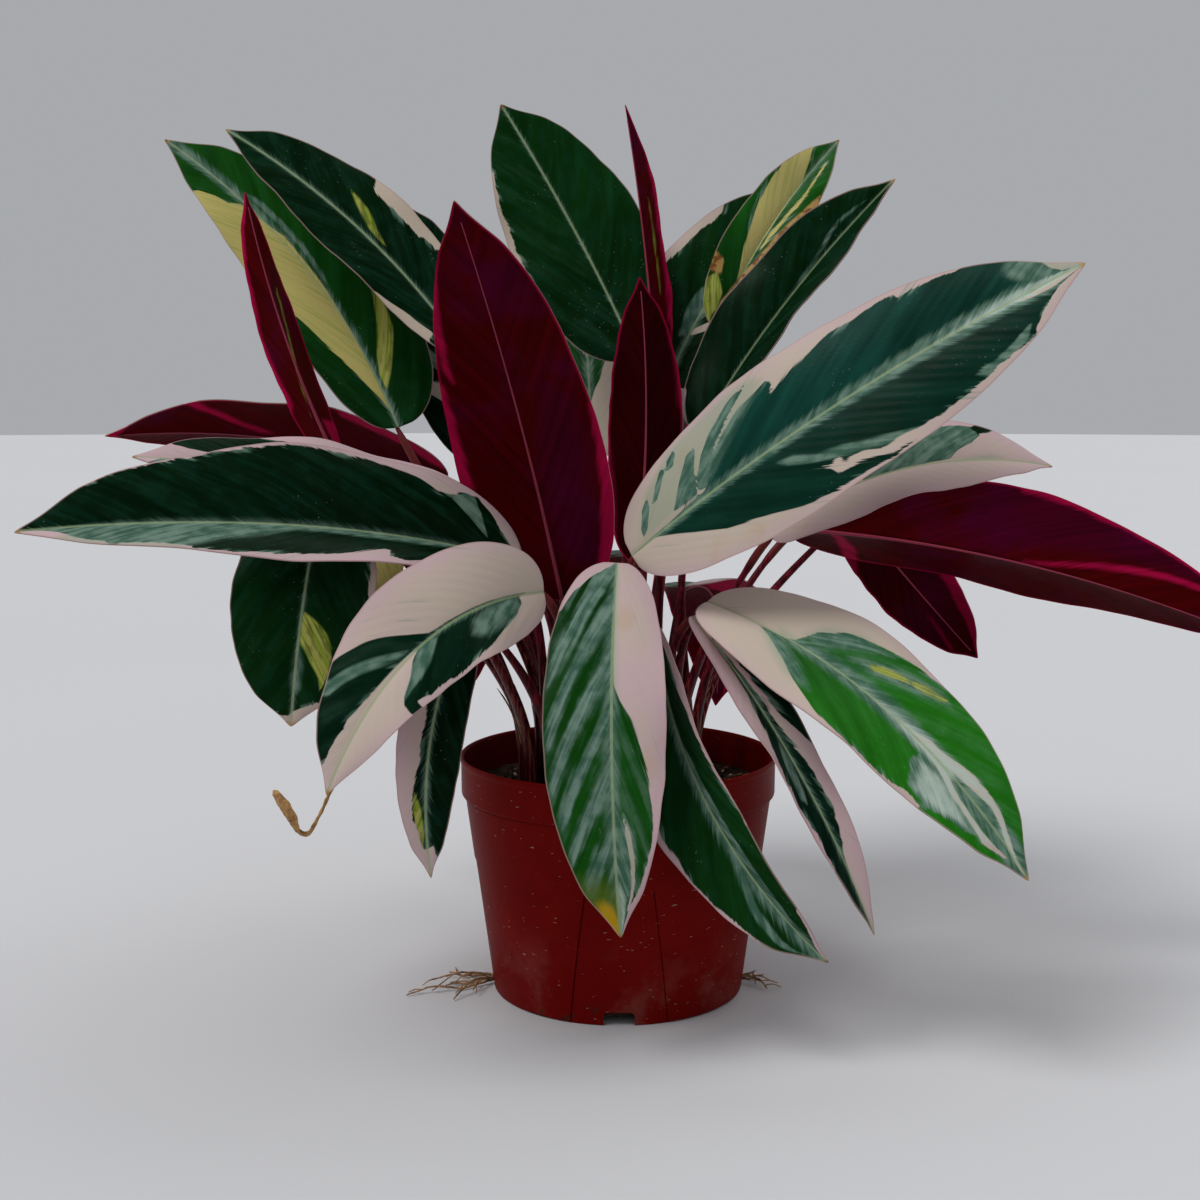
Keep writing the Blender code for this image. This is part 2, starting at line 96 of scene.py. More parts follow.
# Soil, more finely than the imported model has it
SOIL_RINGS = 34
SOIL_WAIST = 50 * MM  # height of the one ring between its top and its foot
CRUMBS_PER_METRE = 260
CRUMB_HEIGHT = 0.7 * MM
CHIP_REACH = 61 * MM  # how far from the axis chips and grains lie
CHIP_SIZE = (0.7, 2.3)  # least and most radius, in millimetres
GRAIN_SIZE = (0.6, 1.5)  # the same for the white grains
STRAW_REACH = 57 * MM
STRAW_RADIUS = (0.15, 0.42)  # least and most, in millimetres
STRAW_HALF = (2, 7)  # least and most of half its length, in millimetres
STRAW_SLOPE = (-8, 20)  # in degrees
STRAW_END = 0.4  # share of its radius that its end keeps
STRAW_LIFT = 0.6 * MM
STRAW_BOW = 1.2 * MM

# Leaves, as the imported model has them
OUTLINE_ROUNDNESS = 2.2
BASE_BLUNTNESS = 0.4
TIP_BLUNTNESS = 0.8
LEFT_WAVE_PHASE = 2.2
STALK_ROOT_RADIUS = 2.5 * MM
STALK_THIN_RADIUS = 1.4 * MM
STALK_JOINT_RADIUS = 1.8 * MM
STALK_JOINT_FROM = 0.86
STALK_FREE_START = 4 * MM
STALK_REACH = 0.35
STALK_LEAN = 0.5

# Leaves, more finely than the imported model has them
TIP_FROM = 0.88  # where along a blade its tip starts to be drawn out
TIP_PINCH = 0.4  # share of its width that the drawn-out tip loses
EDGE_FRAY = 0.5 * MM  # how far the edge strays from a smooth line
GROOVE_DEPTH = 0.5 * MM  # how far the midrib sinks into the upper side at the neck
GROOVE_WIDTH = 1.1 * MM  # from the middle of that groove to where it has nearly ended
STALK_STEPS = 34
STALK_JOINT_BLEND = 0.03  # share of the stalk over which it swells to the joint
STALK_SINK = 1.9 * MM  # how far the neck of the stalk ends under the blade
STALK_SINK_FROM = 0.9
STALK_SINK_SPAN = 0.1
STALK_SLIMMING = 0.5 * MM  # by how much it gets thinner there
RIDGE_STEPS = 26
RIDGE_END = 0.95  # how far along the blade the ridge under it runs
RIDGE_RADIUS = 0.25 * MM
RIDGE_SWELL = 0.7 * MM  # by how much more its radius is at the neck
SHEATH_SPREAD = 1.25  # share by which the foot of a stalk is wider across than it is thick
SHEATH_REACH = 0.8  # how far up the stalk its foot is widened
HUSKS = 4  # dry fibres at the foot of each stalk
HUSK_GAP = 0.2 * MM
HUSK_PEEL = (0.5, 3.5)  # least and most by which its end stands off, in millimetres
HUSK_RADIUS = (0.2, 0.5)  # least and most, in millimetres
HUSK_END = 0.3  # share of its radius that its end keeps

# Side veins bend on towards the tip by this much for each square millimetre out from the midrib
VEIN_BEND = 0.01

# Withered, curled end of the low leaf on the left
WITHERED_STEPS = 6  # steps from one row to the next
WITHERED_COLUMNS = 10
WITHERED_THICKNESS = 0.45 * MM
WITHERED_CRUMPLE = 0.5 * MM
WITHERED_HOLLOW = 0.32  # depth of its hollow, as a share of its width
WITHERED_TIP = 0.25  # share of the last row's width that its very end keeps
WITHERED_ROWS = (  # x, y, z, width in millimetres, twist in degrees
    (-106, -131.5, 120.5, 2.4, 10),
    (-109, -132.5, 113.5, 2.2, 0),
    (-112.5, -132, 107, 2.6, 0),
    (-115, -133, 103.5, 3.4, 0),
    (-117.5, -134, 105, 4.2, 15),
    (-119.5, -135, 109.5, 5.6, 45),
    (-122.5, -135.5, 114.5, 5.2, 60),
    (-126.5, -134, 119.5, 2.6, 70),
)

# Dry roots that grow out of the drain slots
ROOT_RADIUS = 0.75 * MM
ROOT_TAPER = 0.45 * MM  # by how much a root is thinner at its end
ROOT_WANDER = 0.25 * MM
ROOTLETS = 3  # fine roots that branch off each one
ROOTLET_RADIUS = 0.28 * MM
ROOTLET_LENGTH = (5, 11)  # least and most, in millimetres
ROOT_TUFTS = {  # the points of each root, in millimetres
    "roots_left": (
        ((-50.5, -1, 1.9), (-57, -4, 1.7), (-69, -13, 1.2), (-81, -15, 2.6), (-93, -21, 0.8)),
        ((-50.5, 0, 1.9), (-59, 1, 2.6), (-70, -3, 4.6), (-84, -9, 3.2)),
        ((-50.5, 1, 1.9), (-60, 4, 1.2), (-68, 3, 1), (-77, 9, 0.9)),
        ((-50.5, -0.5, 1.9), (-58, -5, 3.2), (-65, -16, 5.2), (-72, -26, 0.9)),
        ((-50.5, 0.5, 1.9), (-58, 0, 1.2), (-66, -6, 0.9), (-75, -6, 1.2)),
    ),
    "roots_right": (
        ((50.5, 0, 1.9), (57, -3, 1.7), (63, -8, 3.4), (66, -13, 0.9)),
        ((50.5, 0.5, 1.9), (58, 2, 1.2), (66, 1, 2.4)),
        ((50.5, -0.5, 1.9), (57, -1, 3), (62, -3, 5.4)),
    ),
}

# Stage: where the lights come from, as azimuth and elevation, and how wide each looks, all in degrees
KEY_FROM = (-150, 55)
KEY_SOFTNESS = 30
FILL_FROM = (50, 50)
FILL_SOFTNESS = 60
CAMERA_PLACE = (-0.008, -0.727, 0.261)
CAMERA_TILT = 83.1  # degrees up from looking straight down
CAMERA_FILM = 36  # width in millimetres
CAMERA_NEAR = 10 * MM
FLOOR_SIDES = 96


class Leaf(NamedTuple):
    """One leaf on its own stalk. Lengths are in millimetres and angles in degrees."""

    name: str
    root: tuple  # x, y where the stalk leaves the soil
    neck: tuple  # x, y, z where the blade starts
    belly: tuple  # x, y, z of the midrib about half way along
    tip: tuple  # x, y, z
    width: float
    face: tuple  # azimuth, elevation that the upper side looks to near the neck; azimuth -90 is the viewer
    tip_face: tuple  # the same near the tip
    fold: float = 12  # how far each half lifts from flat at the midrib
    curl: float = -22  # how far each half turns down again from midrib to edge
    lop: float = 0  # share by which the right half is wider than the left
    widest: float = 0.45  # where along the blade it is widest, from 0 at the neck to 1
    wave: float = 1.6  # height of the edge's waves
    ripples: float = 2.5  # number of waves along an edge


LEAVES = (
    # in front, hanging over the rim
    Leaf("leaf_front_centre", (-4, -38), (-1, -55, 195), (-3.5, -98, 131), (0, -106, 55),
         48, (-90, 40), (-90, 0), lop=0.12),
    Leaf("leaf_front_right", (10, -32), (15, -50, 167), (33, -84, 105), (81, -100, 43),
         40, (-145, 28), (-130, 15), fold=36, lop=0.2),
    Leaf("leaf_right_narrow", (19, -29), (30, -46, 172), (69, -84, 117), (99, -97, 53),
         22, (-70, 30), (-65, 15), fold=30, curl=-18),
    Leaf("leaf_right_low", (25, -20), (36, -46, 178), (96, -92, 147), (153, -118, 81),
         57, (-80, 56), (-72, 30), fold=16, widest=0.4),
    Leaf("leaf_left_low", (-14, -33), (-30, -72, 185), (-79, -121, 165.5), (-107.5, -133, 117.5),
         47, (-100, 8), (-105, 12), fold=16, curl=-26, lop=0.16, widest=0.36),
    Leaf("leaf_left_small", (-26, -27), (-62, -40, 172), (-77, -70, 118), (-75, -84, 72),
         27, (-85, 30), (-80, 0), fold=14),
    Leaf("leaf_left_hanging", (-38, -13), (-124, -20, 227), (-131, -42, 176), (-136, -48, 126),
         60, (-95, 40), (-88, 0), fold=14, widest=0.5),
    Leaf("leaf_left_hidden", (-42, 4), (-112, 14, 219), (-119, 4, 179), (-122, -6, 137),
         46, (-75, 45), (-70, 5)),
    # left side
    Leaf("leaf_left_long", (-25, -15), (-40, -34, 193), (-128, -94, 213), (-219, -128, 213),
         64, (-92, 46), (-90, 46), fold=30, lop=0.12, widest=0.38),
    Leaf("leaf_left_second", (-32, -5), (-57, 2, 214), (-131, -44, 231), (-193, -66, 238),
         48, (-90, 58), (-90, 58), fold=16),
    Leaf("leaf_left_wine", (-34, 16), (-78, 46, 223), (-152, 52, 242), (-233, 34, 244),
         50, (90, 55), (90, 55), fold=20),
    Leaf("leaf_left_upright", (-39, -4), (-120, 0, 228), (-143, -6, 288), (-157, -12, 347),
         27, (112, 10), (112, 10), fold=56, curl=-10),
    Leaf("leaf_upper_left_cream", (-30, 9), (-99, 28, 248), (-136, 50, 311), (-210, 66, 380),
         58, (-75, 30), (-80, 30), fold=14, lop=0.12, widest=0.36),
    Leaf("leaf_upper_left_green", (-21, 1), (-67, 14, 281), (-106, 26, 327), (-175, 36, 380),
         43, (-70, 20), (-75, 30), fold=14, lop=0.15),
    Leaf("leaf_upper_left_dark", (-19, 26), (-58, 66, 230), (-80, 72, 288), (-104, 84, 355),
         50, (-90, 12), (-90, 20)),
    # centre
    Leaf("leaf_centre_wine", (-12, -18), (-24, -14, 175), (-44, -50, 266), (-63, -86, 335),
         63, (85, 25), (90, 45), fold=8, curl=-16, widest=0.34),
    Leaf("leaf_centre_back", (-2, 20), (9, 52, 280), (-15, 70, 330), (-55, 84, 399),
         64, (-95, 20), (-90, 30)),
    Leaf("leaf_centre_spear", (9, 4), (18, 14, 256), (13, 17, 317), (3, 20, 388),
         25, (60, 5), (60, 5), fold=74, curl=0),
    Leaf("leaf_centre_dark", (-1, -5), (8, -4, 190), (12, 0, 252), (9, 2, 313),
         36, (90, 0), (90, 0), fold=36),
    # right side
    Leaf("leaf_right_long", (8, -14), (5, -48, 197), (89, -78, 262), (173, -95, 311),
         66, (-95, 30), (-90, 30)),
    Leaf("leaf_right_second", (25, -10), (65, -18, 204), (126, -42, 234), (178, -40, 233),
         43, (-90, 42), (-90, 50), fold=18, lop=-0.14, widest=0.4),
    Leaf("leaf_right_wine", (33, 1), (79, 12, 204), (176, 18, 189), (277, -12, 157),
         69, (90, 34), (85, 34), fold=38, curl=-14, lop=-0.06, widest=0.42),
    Leaf("leaf_right_wine_low", (34, 13), (110, 54, 208), (142, 64, 172), (172, 58, 138),
         38, (100, 30), (80, 20)),
    Leaf("leaf_upper_right_cream", (14, 17), (46, 48, 293), (61, 56, 324), (103, 66, 380),
         33, (-100, 20), (-90, 20), fold=28),
    Leaf("leaf_upper_right_green", (18, 6), (36, 14, 246), (71, 26, 298), (121, 18, 356),
         40, (-135, 15), (-130, 15), fold=34, lop=-0.2),
    Leaf("leaf_upper_right_back", (8, 30), (24, 66, 267), (45, 80, 309), (94, 90, 360),
         62, (-100, 5), (-90, 20), widest=0.36),
    # behind, mostly out of the viewer's sight
    Leaf("leaf_back_right_low", (24, 28), (32, 62, 172), (52, 130, 156), (56, 182, 92),
         50, (80, 60), (80, 10)),
    Leaf("leaf_back_centre_low", (2, 38), (-6, 66, 186), (-12, 138, 172), (-16, 196, 104),
         54, (90, 60), (90, 10)),
    Leaf("leaf_back_left_low", (-22, 36), (-36, 60, 176), (-68, 122, 158), (-86, 170, 92),
         50, (110, 60), (120, 10)),
    Leaf("leaf_back_left", (-33, 23), (-53, 47, 191), (-115, 108, 213), (-184, 150, 190),
         54, (120, 60), (130, 40)),
    Leaf("leaf_back_right", (32, 22), (38, 52, 214), (98, 112, 246), (164, 166, 226),
         56, (60, 60), (50, 40)),
    Leaf("leaf_back_centre", (-8, 32), (-12, 76, 232), (-16, 126, 306), (-22, 170, 362),
         50, (-90, 60), (-90, 70)),
    Leaf("leaf_back_upper_right", (16, 36), (30, 80, 242), (62, 136, 308), (98, 184, 342),
         50, (-110, 60), (-90, 80)),
    Leaf("leaf_back_upper_left", (-14, 40), (-46, 82, 248), (-80, 136, 308), (-118, 172, 346),
         50, (-70, 60), (-90, 80)),
)


# Kinds of patch that a blade can have. Mist is sage and frost is white, both with a soft edge.
PATCH_KINDS = ("pale", "sage", "mist", "frost", "lime", "gold", "dry")
FAR_OUTSIDE = -40.0  # what the mesh says of a kind that a blade has none of, in millimetres
FLAME_SHARPNESS = 2
SEED_STEP = 3.7  # from one leaf's place in the streaks to the next leaf's


class Pattern(NamedTuple):
    """The colours of one blade.

    A patch is its kind and its corners, each along and side. Two more kinds cut into the pale patches before
    them: green lays the blade's green bare, and a flame fills the cut with sage.
    """

    patches: tuple = ()
    # Below 0 the next value also darkens the underside, as painted shade for blades that the leaves around them
    # shade.
    fresh_and_shade: float = 0.2  # -1 for bluish green, 0 for old, blackish green, 1 for young, bright green
    blush: float = 0.4  # -1 for yellow, 0 for cream, 1 for pink where the blade is pale
    bands: tuple = (0.1, 0.1)  # strength of the sage bands between side veins, left and right half
    feather: tuple = (2.5, 2.5)  # width in millimetres of the frayed sage beside the midrib, left and right
    wedges: int = 0  # number of chance streaks, for a side that nothing else settles
    slant: float = 1.5  # how far a side vein runs along for each step out from the midrib
    lean: float = 0  # by how much the right half is fresher than the left


PATTERNS = {
    "leaf_front_centre": Pattern((
        ("pale", (-.05, -.02), (.3, -.02), (.36, -.04), (.4, -.15), (.45, -.35), (.5, -.48), (.58, -.65),
         (.68, -.8), (.78, -.9), (.88, -.8), (.92, -.68), (1.05, -.6), (1.05, -1.4), (-.05, -1.4)),
        ("pale", (.7, -.2), (.74, -.36), (.78, -.46), (.81, -.52), (.83, -.57), (.87, -.61), (.93, -.64),
         (.93, -.56), (.88, -.51), (.85, -.46), (.82, -.4), (.77, -.3)),
        ("mist", (.7, -.1), (.74, -.45), (.82, -.58), (.9, -.55), (.92, -.3), (.85, -.05)),
        ("pale", (-.05, .1), (.01, .2), (.03, .45), (.06, .7), (.1, .85), (.16, .95), (.2, 1.4),
         (-.05, 1.4)),
        ("mist", (.0, -.1), (.4, -.1), (.8, -.14), (1.05, -.25), (1.05, .2), (.8, .14), (.4, .12),
         (.0, .1)),
        ("frost", (.86, -.08), (.9, -.3), (.94, -.5), (1.05, -.6), (1.05, .25), (.95, .16), (.9, .1)),
        ("gold", (.91, .5), (.925, .25), (.98, .1), (1.0, .9), (.95, 1.1), (.915, .8)),
    ), fresh_and_shade=0.45, blush=.6, bands=(0.5, 1.0), feather=(2, 2), slant=2.3),
    "leaf_front_right": Pattern((
        ("pale", (-.05, -.5), (.06, -.68), (.12, -.74), (.2, -.74), (.28, -.86), (.4, -.95), (.6, -1),
         (.6, -1.4), (-.05, -1.4)),
        ("pale", (-.05, .3), (.1, .6), (.3, .84), (.46, .87), (.55, .9), (.65, .97), (.78, .93), (.85, 1),
         (.85, 1.4), (-.05, 1.4)),
        ("sage", (.31, 0), (.36, -.2), (.45, -.32), (.55, -.36), (.7, -.38), (.8, -.38), (.9, -.2),
         (.93, .02), (.7, .02), (.5, .02)),
        ("sage", (.6, -.15), (.66, 0), (.72, .15), (.8, .35), (.88, .58), (.96, .8), (.93, .86), (.85, .68),
         (.77, .44), (.7, .22), (.64, .03)),
        ("pale", (.82, -1.4), (.85, -.9), (.9, -.84), (.94, -.6), (.97, -.3), (1.05, -.3), (1.05, -1.4)),
    ), fresh_and_shade=0.25, blush=.6, bands=(0.1, 0.1), feather=(2, 2), slant=2.2),
    "leaf_right_narrow": Pattern((
        ("pale", (.08, -.25), (.3, -.4), (.38, -.52), (.46, -.8), (.55, -1.4), (1.05, -1.4), (1.05, .6),
         (.93, .2), (.85, 0), (.78, -.15), (.72, -.4), (.65, -.55), (.55, -.52), (.47, -.36), (.4, -.24),
         (.3, -.2), (.1, -.1)),
        ("pale", (-.05, -1.4), (.2, -1.4), (.24, -.7), (.1, -.3), (.08, .02), (.14, .1), (.25, .2),
         (.33, .35), (.4, .5), (.45, .75), (.55, .93), (.62, .96), (.68, .86), (.7, .72), (.72, .84),
         (.8, .92), (.85, 1.4), (-.05, 1.4)),
        ("sage", (.42, .1), (.5, .1), (.62, .5), (.6, .7), (.48, .5)),
    ), fresh_and_shade=-0.15, blush=.5, feather=(1, 1), slant=2),
    "leaf_right_low": Pattern((
        ("pale", (-.05, .03), (.15, .05), (.22, .02), (.25, -.05), (.28, -.35), (.33, -.6), (.42, -.75),
         (.5, -.88), (.58, -1), (.58, -1.4), (-.05, -1.4)),
        ("pale", (-.05, 0), (.15, .05), (.18, .12), (.25, .4), (.33, .68), (.42, .9), (.52, .98),
         (.66, .96), (.7, .88), (.74, .93), (.74, 1.4), (-.05, 1.4)),
        ("mist", (.17, .06), (.22, .1), (.3, .35), (.38, .68), (.3, .66), (.23, .45), (.18, .2)),
        ("mist", (.25, -.2), (.285, -.52), (.35, -.7), (.45, -.72), (.38, -.45), (.3, -.1)),
        ("mist", (.2, -.1), (.4, -.16), (.6, -.2), (.6, .18), (.4, .16), (.22, .12)),
        ("sage", (.65, .1), (.73, .1), (.76, .25), (.82, .4), (.87, .6), (.84, .75), (.74, .88), (.68, .8),
         (.645, .4)),
        ("pale", (.56, 0), (.66, .02), (.73, .07), (.76, .18), (.8, .28), (.86, .4), (.94, .45), (.93, .62),
         (.88, .7), (.86, .58), (.82, .46), (.78, .38), (.74, .24), (.69, .13), (.62, .06)),
        ("pale", (.58, -.02), (.65, -.14), (.7, -.2), (.75, -.3), (.8, -.4), (.86, -.42), (.92, -.26),
         (.96, -.06), (1.0, .3), (.97, .34), (.93, 0), (.88, -.2), (.84, -.26), (.8, -.18), (.76, -.1),
         (.7, -.04)),
        ("sage", (.77, .05), (.82, -.14), (.86, -.18), (.91, -.1), (.95, .2), (.94, .42), (.87, .36),
         (.8, .2)),
        ("mist", (.37, -.26), (.42, -.46), (.5, -.7), (.58, -.88), (.62, -.8), (.55, -.52), (.45, -.26)),
        ("lime", (.41, -.34), (.45, -.48), (.5, -.6), (.52, -.56), (.48, -.44), (.44, -.34)),
        ("lime", (.51, -.62), (.55, -.76), (.6, -.86), (.6, -.78), (.56, -.64), (.53, -.58)),
        ("frost", (.45, -.02), (.58, -.1), (.68, -.18), (.78, -.36), (.86, -.4), (.92, -.24), (1.05, .1),
         (1.05, .4), (.92, 0), (.86, -.24), (.8, -.22), (.74, -.05), (.74, .12), (.82, .34), (.9, .44),
         (.88, .64), (.8, .42), (.7, .18), (.58, .1)),
        ("frost", (.66, .3), (.72, .2), (.78, .4), (.84, .65), (.78, .8), (.7, .78)),
    ), fresh_and_shade=1, blush=.15, bands=(0.35, 0.15), feather=(4, 4), slant=1.9),
    "leaf_left_low": Pattern((
        ("pale", (-.05, -1.4), (-.05, 0), (.06, .05), (.1, -.05), (.105, -.25), (.14, -.45), (.2, -.62),
         (.3, -.8), (.4, -.9), (.5, -.93), (.6, -.88), (.65, -.8), (.66, -1.4)),
        ("pale", (.5, .02), (.55, -.12), (.6, -.35), (.66, -.55), (.68, -.7), (.7, -1.4), (1.05, -1.4),
         (1.05, .3), (.95, .22), (.85, .2), (.75, .15), (.7, .1), (.6, .05)),
        ("sage", (.42, 0), (.47, -.2), (.52, -.38), (.58, -.52), (.68, -.64), (.66, -.45), (.6, -.25),
         (.5, -.02)),
        ("mist", (.1, 0), (.11, -.25), (.15, -.42), (.22, -.55), (.3, -.6), (.34, -.45), (.3, -.2),
         (.2, -.05)),
        ("pale", (-.05, .05), (.08, .04), (.4, .05), (.45, .08), (.5, .25), (.56, .5), (.6, .65),
         (.66, .85), (.7, 1), (.7, 1.4), (-.05, 1.4)),
        ("sage", (.53, .06), (.58, .1), (.64, .3), (.7, .55), (.77, .85), (.8, 1.4), (.77, 1.4), (.73, .9),
         (.66, .6), (.6, .32)),
        ("pale", (.7, .1), (.78, .2), (.85, .34), (.9, .52), (.93, .72), (.96, 1.4), (1.05, 1.4),
         (1.05, 0)),
    ), fresh_and_shade=-0.12, blush=.3, bands=(0.1, 0.2), feather=(1.2, 0.5), slant=1.3),
    "leaf_left_small": Pattern((
        ("pale", (-.05, .3), (.3, .38), (.42, .27), (.55, .28), (.65, .38), (.72, .5), (.78, .52),
         (.85, .42), (.9, .3), (.9, 0), (.89, -.4), (.92, -.6), (.95, -1.4), (1.05, -1.4), (1.05, 1.4),
         (-.05, 1.4)),
        ("lime", (.7, .38), (.75, .2), (.85, .12), (.9, .3), (.84, .46), (.76, .52)),
    ), fresh_and_shade=0, blush=.5, feather=(1, 1), slant=1.8),
    "leaf_left_hanging": Pattern((
        ("lime", (.55, -.02), (.58, -.22), (.63, -.42), (.69, -.54), (.76, -.6), (.86, -.62), (.8, -.46),
         (.75, -.26), (.67, -.02)),
        ("mist", (.68, 0), (.75, -.1), (.85, -.14), (.91, .05), (.8, .06)),
        ("pale", (.9, -1.4), (.9, -.7), (.935, -.2), (.96, .3), (.95, 1.4), (1.05, 1.4), (1.05, -1.4)),
        ("pale", (.2, -1.4), (.3, -.9), (.6, -.92), (.9, -.85), (.95, -1.4)),
    ), fresh_and_shade=0.18, blush=.1, feather=(0.6, 0.6), slant=1.4),
    "leaf_left_hidden": Pattern((
        ("pale", (-.05, -1.4), (-.05, .25), (.5, .3), (.9, .3), (1.05, -1.4)),
    ), fresh_and_shade=0.3, blush=-.75, wedges=2, slant=1.4),
    "leaf_left_long": Pattern((
        ("pale", (-.05, .1), (.02, .22), (.045, .45), (.075, .78), (.1, .93), (.135, .86), (.165, .74),
         (.2, .71), (.235, .84), (.33, .93), (.45, .955), (.7, .97), (.9, 1), (.9, 1.4), (-.05, 1.4)),
        ("pale", (-.05, 0), (.06, .03), (.11, 0), (.14, -.1), (.17, -.3), (.21, -.5), (.25, -.7),
         (.29, -.83), (.33, -.9), (.36, -.84), (.352, -.6), (.375, -.66), (.42, -.78), (.46, -.84),
         (.55, -.87), (.65, -.93), (.72, -1), (.72, -1.4), (-.05, -1.4)),
        ("mist", (.13, .02), (.17, -.1), (.22, -.24), (.3, -.28), (.4, -.26), (.46, -.2), (1.05, -.2),
         (1.05, .04)),
        ("mist", (.44, 0), (.52, -.22), (.58, -.42), (.66, -.64), (.72, -.9), (.74, -1.4), (.95, -1.4),
         (.92, -.6), (.9, -.35), (.87, -.1), (.8, -.02)),
        ("flame", (.09, .25), (.1, .6), (.108, .86), (.13, .88), (.17, .68), (.13, .48)),
        ("pale", (.84, -1.4), (.85, -.92), (.9, -.78), (.93, -.5), (.96, -.25), (1.05, -.2), (1.05, -1.4)),
        ("pale", (.7, -1.4), (.71, -.93), (.77, -.88), (.83, -.93), (.85, -1.4)),
    ), fresh_and_shade=0.05, blush=.55, feather=(4, 0), slant=1.7),
    "leaf_left_second": Pattern((
        ("pale", (-.05, .2), (.1, .75), (.3, .8), (.45, .72), (.55, .72), (.62, .85), (.7, 1.1), (.7, 1.4),
         (-.05, 1.4)),
        ("pale", (.78, .25), (.86, .5), (.9, .8), (.92, 1.4), (1.05, 1.4), (1.05, -1.4), (.97, -1.4),
         (.95, -.6), (.93, 0), (.88, .1)),
        ("sage", (.86, .2), (.93, .28), (.97, .1), (.96, -.7), (.9, -1.4), (.8, -1.4), (.85, -.2)),
    ), fresh_and_shade=0.05, blush=.7, feather=(2, 2), wedges=2, slant=1.7),
    "leaf_left_wine": Pattern((
        ("pale", (0, -1.4), (.02, -.6), (.06, -.5), (.1, -.62), (.2, -.74), (.33, -.84), (.38, -1.4)),
        ("pale", (.53, -.1), (.62, -.3), (.72, -.75), (.79, -1.4), (.84, -1.4), (.75, -.7), (.66, -.32),
         (.57, -.1)),
        ("pale", (.93, -1.4), (.95, -.5), (.97, 0), (.96, 1.4), (1.05, 1.4), (1.05, -1.4)),
        ("pale", (-.05, 1.4), (.05, .7), (.3, .8), (.5, 1.4)),
    ), fresh_and_shade=0.2, blush=.6, feather=(4, 4), slant=1.6),
    "leaf_left_upright": Pattern((
        ("lime", (.22, .2), (.35, .03), (.45, -.17), (.58, -.38), (.67, -.5), (.66, -.4), (.55, -.27),
         (.45, -.05), (.33, .1)),
        ("pale", (.2, 1.4), (.28, .8), (.4, .86), (.6, .9), (.75, .84), (.9, .7), (.97, .3), (1.05, 0),
         (1.05, 1.4)),
        ("pale", (.06, -1.4), (.1, -.5), (.2, -.3), (.16, -1.4)),
    ), fresh_and_shade=0.2, blush=.2, slant=2),
    "leaf_upper_left_cream": Pattern((
        ("pale", (.04, -.03), (.1, -.2), (.2, -.42), (.3, -.6), (.38, -.72), (.5, -.95), (.55, -1.4),
         (.86, -1.4), (.84, -.8), (.8, -.5), (.76, -.35), (.74, -.1), (.6, .08), (.4, .04), (.2, -.02)),
        ("lime", (.1, .08), (.15, .08), (.2, .18), (.28, .42), (.37, .6), (.32, .64), (.25, .58), (.22, .5),
         (.18, .38), (.14, .25)),
        ("sage", (.4, .08), (.55, .12), (.76, .15), (.72, .25), (.55, .22)),
    ), fresh_and_shade=0.4, blush=-.8, feather=(2, 2), slant=1.6),
    "leaf_upper_left_green": Pattern((
        ("pale", (.06, -1.4), (.1, -.62), (.2, -.76), (.3, -.94), (.4, -1.4)),
        ("lime", (.4, .1), (.45, .2), (.52, .4), (.61, .5), (.56, .32), (.48, .13)),
        ("pale", (.3, 1.4), (.3, .85), (.38, .74), (.45, .7), (.55, .78), (.62, 1.4)),
    ), fresh_and_shade=0.1, blush=-.2, bands=(0.1, 0.1), feather=(0.6, 0.6), slant=1.8),
    "leaf_upper_left_dark": Pattern((), fresh_and_shade=0.08, blush=.2, feather=(2, 2), wedges=3, slant=1.5),
    "leaf_centre_wine": Pattern((
        ("pale", (.06, -1.4), (.07, -.8), (.15, -.8), (.25, -.84), (.36, -.89), (.48, -.95), (.56, -1.4)),
        ("pale", (.1, 1.4), (.14, .92), (.25, .86), (.38, .86), (.5, .9), (.58, .96), (.62, 1.4)),
        ("pale", (.58, .8), (.65, .84), (.75, .88), (.86, .98), (.86, 1.4), (.78, 1.4), (.7, .98),
         (.62, .9)),
        ("sage", (.05, -.7), (.3, -.75), (.5, -.8), (.55, -.4), (.4, -.15), (.15, -.15)),
        ("sage", (.75, -1), (.85, -.9), (.85, .1), (.78, 0)),
    ), fresh_and_shade=0.2, blush=.7, feather=(4, 4), slant=1.5),
    "leaf_centre_back": Pattern((
        ("pale", (.3, -1.4), (.33, -.97), (.45, -.93), (.6, -.9), (.8, -.95), (.9, -1.4)),
    ), fresh_and_shade=0.22, blush=-.2, feather=(0.4, 0.4), slant=1.4, bands=(0.15, 0.05)),
    "leaf_centre_spear": Pattern((
        ("lime", (.38, -.47), (.45, -.54), (.65, -.54), (.7, -.49), (.5, -.46)),
        ("pale", (.2, -1.4), (.3, -.75), (.5, -.85), (.8, -.85), (.85, -1.4)),
    ), fresh_and_shade=0.3, blush=.5, slant=2.2),
    # Its first value below 0 also darkens its underside: painted shade from the leaves around it.
    "leaf_centre_dark": Pattern((
        ("pale", (.04, 1.4), (.08, .9), (.18, .8), (.3, .84), (.42, .97), (.46, 1.4)),
        ("pale", (.5, -1.4), (.55, -.9), (.8, -.9), (.9, -1.4)),
    ), fresh_and_shade=-1, blush=.6, slant=1.8),
    "leaf_right_long": Pattern((
        ("pale", (-.05, -.02), (.05, -.04), (.1, -.04), (.2, -.08), (.215, -.15), (.24, -.35), (.28, -.52),
         (.34, -.66), (.41, -.76), (.415, -.68), (.398, -.58), (.43, -.62), (.46, -.68), (.5, -.76),
         (.55, -.84), (.62, -.9), (.685, -.94), (.688, -.84), (.72, -.88), (.77, -.93), (.82, -1),
         (.82, -1.4), (-.05, -1.4)),
